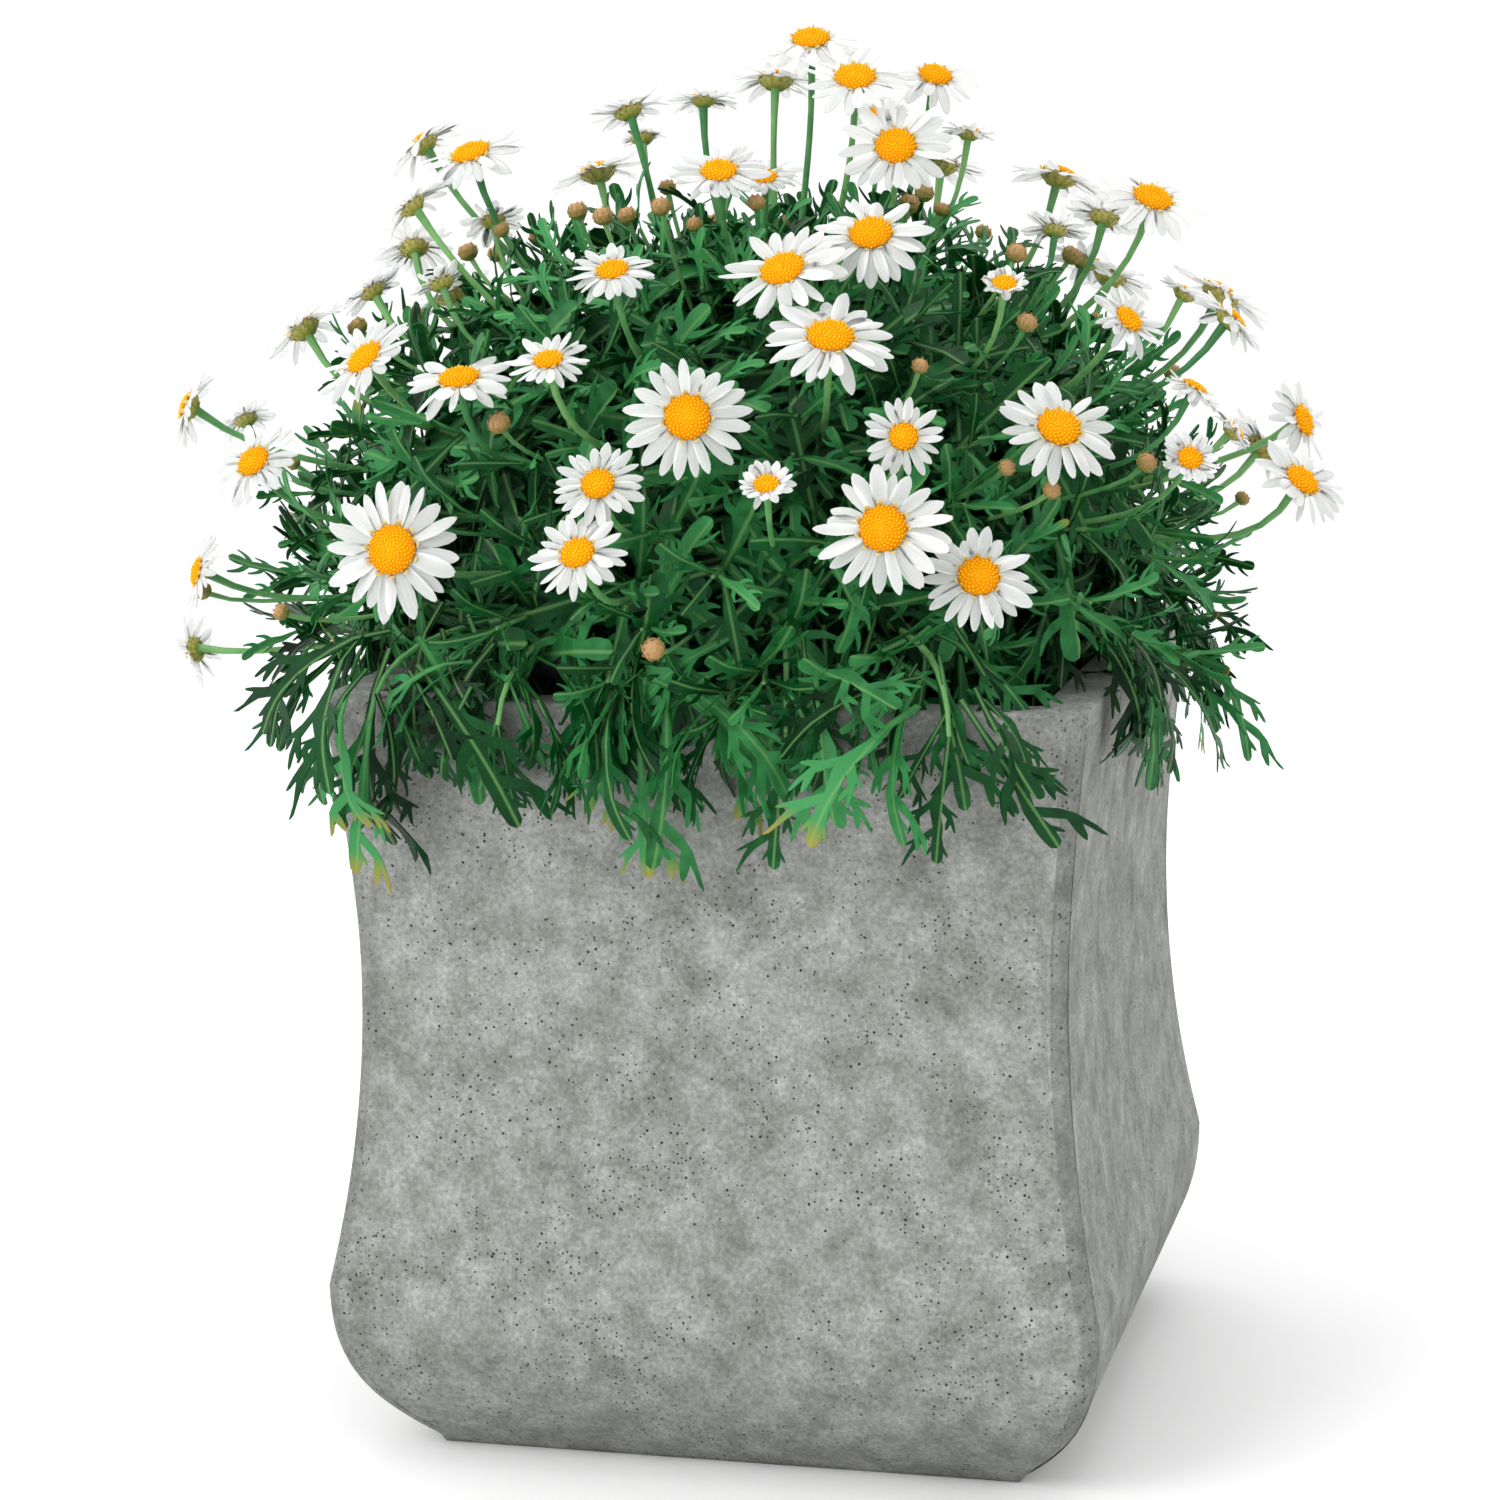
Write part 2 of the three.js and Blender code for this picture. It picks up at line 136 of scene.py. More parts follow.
class Paint:
    """Material being mixed: its node tree, its Principled shader and short calls for the nodes it needs."""

    def __init__(self, name: str) -> None:
        """Starts a material.

        Args:
            name: Name of the real stuff.
        """
        self.material = bpy.data.materials.new(name)
        self.material.use_nodes = True
        self.tree = self.material.node_tree
        self.tree.nodes.clear()
        self.shader = add_node(self.tree, "BsdfPrincipled")
        add_node(self.tree, "OutputMaterial", {"Surface": self.shader.outputs["BSDF"]})

    def value(self, name: str) -> NodeSocket:
        """Socket with a named vertex attribute of the piece."""
        return add_node(self.tree, "Attribute", attribute_name=name).outputs["Fac"]

    def place(self) -> NodeSocket:
        """Socket with the place in the piece's own frame."""
        return add_node(self.tree, "TexCoord").outputs["Object"]

    def maths(self, operation: str, *values: float | NodeSocket) -> NodeSocket:
        """Result of a maths operation on one to three values."""
        return add_node(self.tree, "Math", dict(enumerate(values)), operation=operation).outputs[0]

    def mix(self, share: float | NodeSocket, under: NodeSocket, over: object,
            mode: str = "MIX") -> NodeSocket:
        """Blends one colour into another.

        Args:
            share: How much of the second colour shows, from 0 to 1.
            under: First colour.
            over: Second colour, as a socket or a linear colour.
            mode: Way of blending.

        Returns:
            The colour socket.
        """
        inputs = {0: share, 6: under, 7: over}
        return add_node(self.tree, "Mix", inputs, data_type="RGBA", blend_type=mode).outputs[2]

    def rescale(self, value: NodeSocket, start: float, end: float, low: float, high: float) -> NodeSocket:
        """Maps a value from one range to another and holds it inside.

        Args:
            value: Value to map.
            start: Value that becomes low.
            end: Value that becomes high.
            low: Result at the start.
            high: Result at the end.

        Returns:
            The mapped value's socket.
        """
        inputs = {"Value": value, "From Min": start, "From Max": end, "To Min": low, "To Max": high}
        return add_node(self.tree, "MapRange", inputs).outputs[0]

    def ramp(self, source: NodeSocket, stops: list[tuple[float, str]]) -> NodeSocket:
        """Colours a value by a ramp.

        Args:
            source: Value from 0 to 1.
            stops: Position and hex colour of each stop, in order.

        Returns:
            The ramp's colour socket.
        """
        node = add_node(self.tree, "ValToRGB", {"Fac": source})
        elements = node.color_ramp.elements
        while len(elements) < len(stops):
            elements.new(0.5)
        for element, (position, colour) in zip(elements, stops):
            element.position = position
            element.color = linear(colour)
        return node.outputs["Color"]

    def speckle(self, size_mm: float, detail: float = 2.0, squeeze: tuple = (1, 1, 1),
                grit: float = 0.5) -> NodeSocket:
        """Noise whose blotches are about a size across.

        Args:
            size_mm: Width of a blotch in millimetres.
            detail: Octaves of finer noise.
            squeeze: Factors that narrow the pattern along each axis.
            grit: How strongly the finer octaves show.

        Returns:
            The noise value socket.
        """
        mapped = add_node(self.tree, "Mapping", {"Vector": self.place(), "Scale": squeeze}).outputs["Vector"]
        inputs = {"Vector": mapped, "Scale": 1 / (size_mm * MM), "Detail": detail, "Roughness": grit}
        return add_node(self.tree, "TexNoise", inputs).outputs["Fac"]

    def finish(self, colour: NodeSocket, roughness: float, specular: float = 0.5,
               relief: tuple[tuple[NodeSocket, float], ...] = ()) -> Material:
        """Joins the colour and the relief to the shader and sets its gloss.

        Args:
            colour: Base colour.
            roughness: Roughness of the surface.
            specular: Strength of its reflection.
            relief: Height socket and depth in millimetres of each layer.

        Returns:
            The material.
        """
        self.tree.links.new(colour, self.shader.inputs["Base Color"])
        self.shader.inputs["Roughness"].default_value = roughness
        self.shader.inputs["Specular IOR Level"].default_value = specular
        normal = None
        for height, depth_mm in relief:
            inputs = {"Height": height, "Distance": depth_mm * MM, "Strength": 1.0}
            if normal is not None:
                inputs["Normal"] = normal
            normal = add_node(self.tree, "Bump", inputs).outputs["Normal"]
        if normal is not None:
            self.tree.links.new(normal, self.shader.inputs["Normal"])
        return self.material


# ---------------------------------------------------------------- finishes


@dataclass(frozen=True)
class FibreConcrete:
    """Cast fibre concrete, left bare: cloudy greys, pin holes from trapped air, and painted shade in the
    holes, on the arrises and at the foot.
    """

    cloud_mm: float = 24
    grain_mm: float = 2.4
    # Strength of the painted shade on the arrises and at the foot, and the height where the foot's painted
    # shade fades out.
    painted_shade: float = 0.34
    painted_shade_height: float = 95 * MM
    roughness: float = 0.88

    def pin_holes(self, paint: Paint, cell_mm: float, fewest: float, radius: float) -> NodeSocket:
        """Masks round pin holes, which come in clusters.

        Args:
            paint: Material being mixed.
            cell_mm: Spacing of the places where a hole may lie.
            fewest: Value that a place must pass to hold a hole.
            radius: Radius of the largest hole, over the spacing.

        Returns:
            Socket with 1 inside a hole.
        """
        cells = add_node(paint.tree, "TexVoronoi", {"Vector": paint.place(), "Scale": 1 / (cell_mm * MM)})
        chosen = add_node(paint.tree, "SeparateColor", {"Color": cells.outputs["Color"]}).outputs["Red"]
        keep = paint.maths("MULTIPLY", chosen, paint.speckle(45))
        hole = paint.rescale(keep, fewest, fewest + 0.16, 0.0, radius)
        depth = paint.maths("SUBTRACT", hole, cells.outputs["Distance"])
        return paint.rescale(depth, 0.0, 0.07, 0.0, 1.0)

    def material(self) -> Material:
        """Mixes the clouds and the grain, then lays over them the holes, the arrises and the foot, all
        darkened with painted shade.

        Returns:
            The material.
        """
        paint = Paint("cast_fibre_concrete")
        cloud = paint.speckle(self.cloud_mm, 9.0, grit=0.76)
        clouds = paint.ramp(cloud, [(0.3, "#666863"), (0.44, "#7e807b"), (0.57, "#929490"), (0.7, "#a7a9a4")])
        grain = paint.speckle(self.grain_mm, 3.0, grit=0.7)
        grains = paint.ramp(grain, [(0.32, "#9c9c9c"), (0.68, "#d8d8d8")])
        mixed = paint.mix(0.75, clouds, grains, "OVERLAY")
        large = self.pin_holes(paint, 4.2, 0.25, 0.19)
        pit = paint.maths("MAXIMUM", large, self.pin_holes(paint, 2.2, 0.32, 0.26))
        # The near black in the pin holes is painted shade for their depth.
        pitted = paint.mix(pit, mixed, linear("#2b2c29"))
        # The rounded arris and the foot of the walls are darkened with painted shade.
        arris = paint.rescale(paint.value("arris"), 0.0, 1.0, 0.0, self.painted_shade)
        height = add_node(paint.tree, "SeparateXYZ", {"Vector": paint.place()}).outputs["Z"]
        painted_foot_shade = paint.rescale(height, 0.0, self.painted_shade_height, self.painted_shade, 0.0)
        with_painted_shade = paint.mix(paint.maths("MAXIMUM", arris, painted_foot_shade), pitted, linear("#4f504d"))
        trowel = paint.speckle(15, 4.0, (1.0, 1.0, 0.45))
        sunk = paint.maths("SUBTRACT", 1.0, pit)
        return paint.finish(with_painted_shade, self.roughness, 0.25, ((trowel, 1.4), (grain, 0.45), (sunk, 0.6)))


@dataclass(frozen=True)
class Greenery:
    """Living leaf or stem: waxy, mottled from deep to pale green, with a paler rib and a few turned tips."""

    name: str
    dark: str
    middle: str
    pale: str
    tip: str
    rib: str
    roughness: float = 0.42

    def material(self) -> Material:
        """Mixes the greens by the piece's tone, then adds the rib and the turned tips.

        Returns:
            The material.
        """
        paint = Paint(self.name)
        tone = paint.value("tone")
        depth = paint.maths("MULTIPLY_ADD", paint.speckle(9), 0.35, paint.maths("MULTIPLY", tone, 0.65))
        green = paint.ramp(depth, [(0.15, self.dark), (0.45, self.middle), (0.74, self.pale)])
        rib = paint.rescale(paint.value("across"), 0.0, 0.13, 0.6, 0.0)
        ribbed = paint.mix(rib, green, linear(self.rib))
        # Only the palest-toned leaves have begun to turn at their tips.
        old = paint.rescale(tone, 0.9, 0.97, 0.0, 1.0)
        end = paint.rescale(paint.value("along"), 0.86, 1.06, 0.0, 0.9)
        colour = paint.mix(paint.maths("MULTIPLY", old, end), ribbed, linear(self.tip))
        return paint.finish(colour, self.roughness, 0.16, ((paint.speckle(2.2, 1.0), 0.25),))


@dataclass(frozen=True)
class RayPetal:
    """White ray of a marguerite: thin, matt, glowing where light passes, and grooved along its length."""

    grooves: float = 14.0
    scatter_depth: float = 7 * MM

    def material(self) -> Material:
        """Mixes the white, greener at the foot, and lets light through it.

        Returns:
            The material.
        """
        paint = Paint("white_ray_petal")
        white = paint.ramp(paint.value("along"), [(0.0, "#e6eacf"), (0.16, "#fcfcfa"), (1.0, "#ffffff")])
        shade = paint.ramp(paint.value("tone"), [(0.0, "#f9f9fb"), (1.0, "#ffffff")])
        paint.shader.inputs["Subsurface Weight"].default_value = 0.9
        paint.shader.inputs["Subsurface Radius"].default_value = (1.0, 1.0, 1.0)
        paint.shader.inputs["Subsurface Scale"].default_value = self.scatter_depth
        wave = paint.maths("SINE", paint.maths("MULTIPLY", paint.value("across"), self.grooves))
        return paint.finish(paint.mix(1.0, white, shade, "MULTIPLY"), 0.6, 0.25, ((wave, 0.06),))


@dataclass(frozen=True)
class DiscFloret:
    """Packed florets in the eye of a daisy: a velvety orange yellow, deeper at their feet."""

    roughness: float = 0.85

    def material(self) -> Material:
        """Mixes the yellow, from the foot of a floret to its tip.

        Returns:
            The material.
        """
        paint = Paint("disc_floret")
        lift = paint.maths("MULTIPLY", paint.value("along"), 0.6)
        mixed = paint.maths("MULTIPLY_ADD", paint.value("tone"), 0.4, lift)
        colour = paint.ramp(mixed, [(0.0, "#a85a00"), (0.4, "#eb9a00"), (0.85, "#ffc81a")])
        return paint.finish(colour, self.roughness, 0.1, ((paint.speckle(0.6, 1.0), 0.15),))


@dataclass(frozen=True)
class BudSkin:
    """Papery bracts of a bud or of the cup under a flower: green at the stalk, warmer towards their tips."""

    name: str
    colours: tuple[str, str, str, str]

    def material(self) -> Material:
        """Mixes the colours from the foot of a bract to its tip.

        Returns:
            The material.
        """
        paint = Paint(self.name)
        patch = paint.speckle(1.6)
        warm = paint.maths("MULTIPLY_ADD", paint.value("tone"), 0.25, paint.value("along"))
        warm = paint.maths("MULTIPLY_ADD", patch, 0.5, warm)
        colour = paint.ramp(warm, list(zip((0.3, 0.6, 0.92, 1.0), self.colours)))
        return paint.finish(colour, 0.65, relief=((patch, 0.35),))


@dataclass(frozen=True)
class Moulded:
    """Injection-moulded polypropylene or mesh: an even colour with a fine grain and some dust."""

    name: str
    colour: str
    dust: str
    roughness: float
    grain_mm: float = 0.9

    def material(self) -> Material:
        """Mixes the plastic with patches of dust.

        Returns:
            The material.
        """
        paint = Paint(self.name)
        dusting = paint.ramp(paint.speckle(30, 4.0), [(0.45, self.colour), (0.75, self.dust)])
        return paint.finish(dusting, self.roughness, relief=((paint.speckle(self.grain_mm, 1.0), 0.08),))


@dataclass(frozen=True)
class Earthy:
    """Crumbly or fibrous natural stuff, such as soil, bark or baked clay, in three mixed colours."""

    name: str
    colours: tuple[str, str, str]
    grain_mm: float
    relief_mm: float
    squeeze: tuple[float, float, float] = (1, 1, 1)

    def material(self) -> Material:
        """Mixes the colours by one grain that also gives the relief.

        Returns:
            The material.
        """
        paint = Paint(self.name)
        grain = paint.speckle(self.grain_mm, 4.0, self.squeeze)
        colour = paint.ramp(grain, list(zip((0.3, 0.5, 0.72), self.colours)))
        return paint.finish(colour, 0.92, 0.25, ((grain, self.relief_mm),))


@dataclass(frozen=True)
class PaintedFloor:
    """Pale matt studio floor with a trace of unevenness."""

    roughness: float = 0.9

    def material(self) -> Material:
        """Mixes two near whites in broad patches.

        Returns:
            The material.
        """
        paint = Paint("pale_studio_paint")
        tint = paint.ramp(paint.speckle(900, 1.0), [(0.3, "#fbfbfb"), (0.7, "#fefefe")])
        return paint.finish(tint, self.roughness)


# ---------------------------------------------------------------- mesh helpers


def heading(bearing: float, rise: float) -> Vector:
    """Unit vector at a bearing from +X towards +Y and a rise over the ground, both in degrees."""
    b, r = math.radians(bearing), math.radians(rise)
    return Vector((math.cos(r) * math.cos(b), math.cos(r) * math.sin(b), math.sin(r)))


def turn_from(start: Vector, end: Vector) -> Matrix:
    """Shortest turn from one direction to another."""
    return start.rotation_difference(end).to_matrix().to_4x4()


def aimed(place: Vector, forward: Vector, upward: Vector) -> Matrix:
    """Frame at a place whose +Y runs forward and whose +Z leans upward.

    Args:
        place: Origin of the frame.
        forward: Direction of its +Y axis.
        upward: Direction that its +Z axis leans towards.

    Returns:
        The frame as a 4 by 4 matrix.
    """
    y = forward.normalized()
    x = y.cross(upward)
    x = x.normalized() if x.length > MERGE else y.orthogonal().normalized()
    z = x.cross(y)
    return Matrix.Translation(place) @ Matrix((x, y, z)).transposed().to_4x4()


def curve_points(handles: list[Vector], count: int) -> list[Vector]:
    """Evenly stepped points of a cubic Bezier curve.

    Args:
        handles: Its four control points.
        count: Number of points, ends included.

    Returns:
        The points from first to last.
    """
    a, b, c, d = handles
    steps = [n / (count - 1) for n in range(count)]
    return [a * (1 - t) ** 3 + b * 3 * t * (1 - t) ** 2 + c * 3 * t * t * (1 - t) + d * t**3 for t in steps]


def new_mesh(bm: BMesh, name: str) -> Mesh:
    """Writes a shape into a new mesh and frees the shape.

    Args:
        bm: Shape that is finished.
        name: Name of the mesh.

    Returns:
        The mesh.
    """
    mesh = bpy.data.meshes.new(name)
    bm.to_mesh(mesh)
    bm.free()
    return mesh


def new_object(name: str, data: bpy.types.ID) -> Object:
    """Links a new object to the scene.

    Args:
        name: Name of the object.
        data: Its mesh, camera or light.

    Returns:
        The object.
    """
    thing = bpy.data.objects.new(name, data)
    bpy.context.collection.objects.link(thing)
    return thing


def grow(bm: BMesh, face: BMFace, step: Vector, scale: float) -> BMFace:
    """Extrudes a face by a step and shrinks its new end within the XY plane.

    Args:
        bm: Mesh being built.
        face: Face to extrude.
        step: Offset of the new end.
        scale: Size of the new end over the old one.

    Returns:
        The face at the new end.
    """
    end = bmesh.ops.extrude_discrete_faces(bm, faces=[face])["faces"][0]
    bmesh.ops.translate(bm, vec=step, verts=end.verts)
    centre = Matrix.Translation(-end.calc_center_median())
    bmesh.ops.scale(bm, vec=(scale, scale, 1), space=centre, verts=end.verts)
    return end


def extrude_ring(bm: BMesh, edges: list[BMEdge]) -> tuple[list[BMVert], list[BMEdge]]:
    """Extrudes a ring of edges in place.

    Args:
        bm: Mesh being built.
        edges: Ring to extrude.

    Returns:
        Vertices and edges of the new ring.
    """
    grown = bmesh.ops.extrude_edge_only(bm, edges=edges)["geom"]
    verts = [item for item in grown if isinstance(item, BMVert)]
    return verts, [item for item in grown if isinstance(item, BMEdge)]


def open_ring(bm: BMesh, z: float) -> list[BMEdge]:
    """Edges of the open ring or rings at a height."""
    return [e for e in bm.edges if e.is_boundary and all(abs(v.co.z - z) < LEVEL for v in e.verts)]


def round_off(bm: BMesh, edges: list[BMEdge], radius: float, steps: int) -> None:
    """Rounds some edges.

    Args:
        bm: Mesh being built.
        edges: Edges to round.
        radius: Radius of the rounding.
        steps: Segments of the rounding.
    """
    bmesh.ops.bevel(
        bm, geom=edges, offset=radius, offset_type="OFFSET", segments=steps, profile=0.5, affect="EDGES",
        material=-1, clamp_overlap=False,
    )


def cut_across(bm: BMesh, place: tuple, normal: tuple) -> None:
    """Cuts a whole mesh along a plane and keeps both halves.

    Args:
        bm: Mesh being built.
        place: Point on the plane.
        normal: Direction square to the plane.
    """
    geometry = bm.verts[:] + bm.edges[:] + bm.faces[:]
    bmesh.ops.bisect_plane(bm, geom=geometry, plane_co=place, plane_no=normal, dist=MERGE)


def sweep(bm: BMesh, path: list[Vector], radii: list[float], sides: int) -> list[BMVert]:
    """Runs a round section along a path and closes both ends.

    Args:
        bm: Mesh being built.
        path: Points of the centre line.
        radii: Radius at each point.
        sides: Number of sides of the section.

    Returns:
        The vertices of the new tube.
    """
    last = len(path) - 1
    tangents = [(path[min(i + 1, last)] - path[max(i - 1, 0)]).normalized() for i in range(last + 1)]
    place = Matrix.Translation(path[0]) @ turn_from(UP, tangents[0])
    ring = bmesh.ops.create_circle(bm, segments=sides, radius=radii[0], matrix=place)["verts"]
    made = list(ring)
    edges = list({edge for vert in ring for edge in vert.link_edges})
    first = edges
    for i in range(1, len(path)):
        verts, edges = extrude_ring(bm, edges)
        bend = turn_from(tangents[i - 1], tangents[i])
        size = Matrix.Scale(radii[i] / radii[i - 1], 4)
        move = Matrix.Translation(path[i]) @ bend @ size @ Matrix.Translation(-path[i - 1])
        bmesh.ops.transform(bm, matrix=move, verts=verts)
        made += verts
    bmesh.ops.contextual_create(bm, geom=first)
    bmesh.ops.contextual_create(bm, geom=edges)
    return made


def turned(bm: BMesh, profile: list[tuple[float, float]], segments: int) -> None:
    """Spins a profile about the Z axis.

    Args:
        bm: Mesh being built.
        profile: Radius and height of each point, in metres.
        segments: Steps round the axis.
    """
    verts = [bm.verts.new((radius, 0, z)) for radius, z in profile]
    edges = [bm.edges.new(pair) for pair in zip(verts, verts[1:])]
    bmesh.ops.spin(
        bm, geom=verts + edges, cent=(0, 0, 0), axis=UP, dvec=(0, 0, 0),
        angle=math.tau, steps=segments, use_merge=True, use_duplicate=False,
    )
    bmesh.ops.remove_doubles(bm, verts=bm.verts, dist=MERGE)
    bmesh.ops.recalc_face_normals(bm, faces=bm.faces)


@dataclass
class Stamp:
    """A small shape that is repeated, with what each of its vertices carries for the material."""

    mesh: Mesh
    along: list[float]
    across: list[float]

    @classmethod
    def from_bmesh(cls, bm: BMesh, name: str, length: float, breadth: float) -> "Stamp":
        """Keeps a flat shape and where its vertices lie, before it is bent.

        Args:
            bm: Flat shape that points along +Y, which is freed.
            name: Name of its mesh.
            length: Length that counts as 1 along it.
            breadth: Half width that counts as 1 across it.

        Returns:
            The stamp.
        """
        mesh = new_mesh(bm, name)
        along = [min(1, max(0, v.co.y / length)) for v in mesh.vertices]
        across = [abs(v.co.x) / breadth for v in mesh.vertices]
        return cls(mesh, along, across)


class Press:
    """Gathers stamps, tubes and other shapes into the mesh of one piece."""

    # Operators slow down with the size of the mesh, so the work is done on small ones that are joined last.
    CHUNK = 900

    def __init__(self) -> None:
        """Starts with nothing gathered."""
        self.done: list[Mesh] = []
        self.open_chunk()

    def open_chunk(self) -> None:
        """Starts an empty mesh with the attributes that the materials read."""
        self.bm = bmesh.new()
        layers = self.bm.verts.layers.float
        self.along, self.across, self.tone = (layers.new(n) for n in ("along", "across", "tone"))

    def make_room(self) -> None:
        """Puts the open mesh with the finished ones once it is full."""
        if len(self.bm.verts) > self.CHUNK:
            self.add(self.bm)
            self.open_chunk()

    def add(self, bm: BMesh) -> None:
        """Gathers a mesh that was built on its own, and frees it."""
        self.done.append(new_mesh(bm, "chunk"))

    def stamp(self, shape: Stamp, place: Matrix, tone: float, slot: int = 0, bend: float = 0.0) -> None:
        """Adds a copy of a stamp.

        Args:
            shape: What to copy.
            place: Where it goes.
            tone: Value from 0 to 1 that varies its colour.
            slot: Material slot of the piece.
            bend: Curl in radians over its length, towards its underside.
        """
        self.make_room()
        bm = self.bm
        verts_before, faces_before = len(bm.verts), len(bm.faces)
        bm.from_mesh(shape.mesh, face_normals=False, vertex_normals=False)
        bm.verts.ensure_lookup_table()
        bm.faces.ensure_lookup_table()
        for vert, along, across in zip(bm.verts[verts_before:], shape.along, shape.across):
            vert[self.along], vert[self.across], vert[self.tone] = along, across, tone
            spot = vert.co.copy()
            if bend and along:
                angle = bend * along
                spot.y = vert.co.y * math.sin(angle) / angle + vert.co.z * math.sin(angle)
                spot.z = vert.co.z * math.cos(angle) - vert.co.y * (1 - math.cos(angle)) / angle
            vert.co = place @ spot
        for face in bm.faces[faces_before:]:
            face.material_index = slot

    def tube(self, path: list[Vector], radii: list[float], sides: int, tone: float, slot: int = 0) -> None:
        """Adds a tube along a path.

        Args:
            path: Points of the centre line.
            radii: Radius at each point.
            sides: Sides of its section.
            tone: Value from 0 to 1 that varies its colour.
            slot: Material slot of the piece.
        """
        self.make_room()
        for count, vert in enumerate(sweep(self.bm, path, radii, sides)):
            vert[self.along] = (count // sides) / max(1, len(path) - 1)
            vert[self.across] = 1.0
            vert[self.tone] = tone
            for face in vert.link_faces:
                face.material_index = slot

    def piece(self, name: str, materials: list[Material], body: Body, slot: str, cad_node: str) -> None:
        """Turns what was gathered into a finished piece.

        Args:
            name: Name of the piece.
            materials: Materials in slot order.
            body: Body that it rides on.
            slot: Not used.
            cad_node: CAD node that it is shown in place of.
        """
        self.add(self.bm)
        whole = bmesh.new()
        for mesh in self.done:
            whole.from_mesh(mesh)
            bpy.data.meshes.remove(mesh)
        make_piece(whole, name, materials, body, cad_node)


def make_piece(bm: BMesh, name: str, materials: list[Material], body: Body, cad_node: str,
               sharp_degrees: float = 45) -> Object:
    """Turns a mesh into a finished piece that rides on a body.

    Args:
        bm: Mesh, which is freed.
        name: Name of the piece.
        materials: Materials in slot order.
        body: Body that it rides on.
        cad_node: CAD node that it is shown in place of.
        sharp_degrees: Angle over which an edge stays crisp.

    Returns:
        The new object.
    """
    mesh = new_mesh(bm, name)
    for material in materials:
        mesh.materials.append(material)
    mesh.shade_smooth()
    mesh.set_sharp_from_angle(angle=math.radians(sharp_degrees))
    thing = new_object(name, mesh)
    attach(thing, body.value)
    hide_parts(cad_node)
    mesh.calc_loop_triangles()
    log.info("%s: %d triangles on %s", name, len(mesh.loop_triangles), body.value)
    return thing


# ---------------------------------------------------------------- planter shell


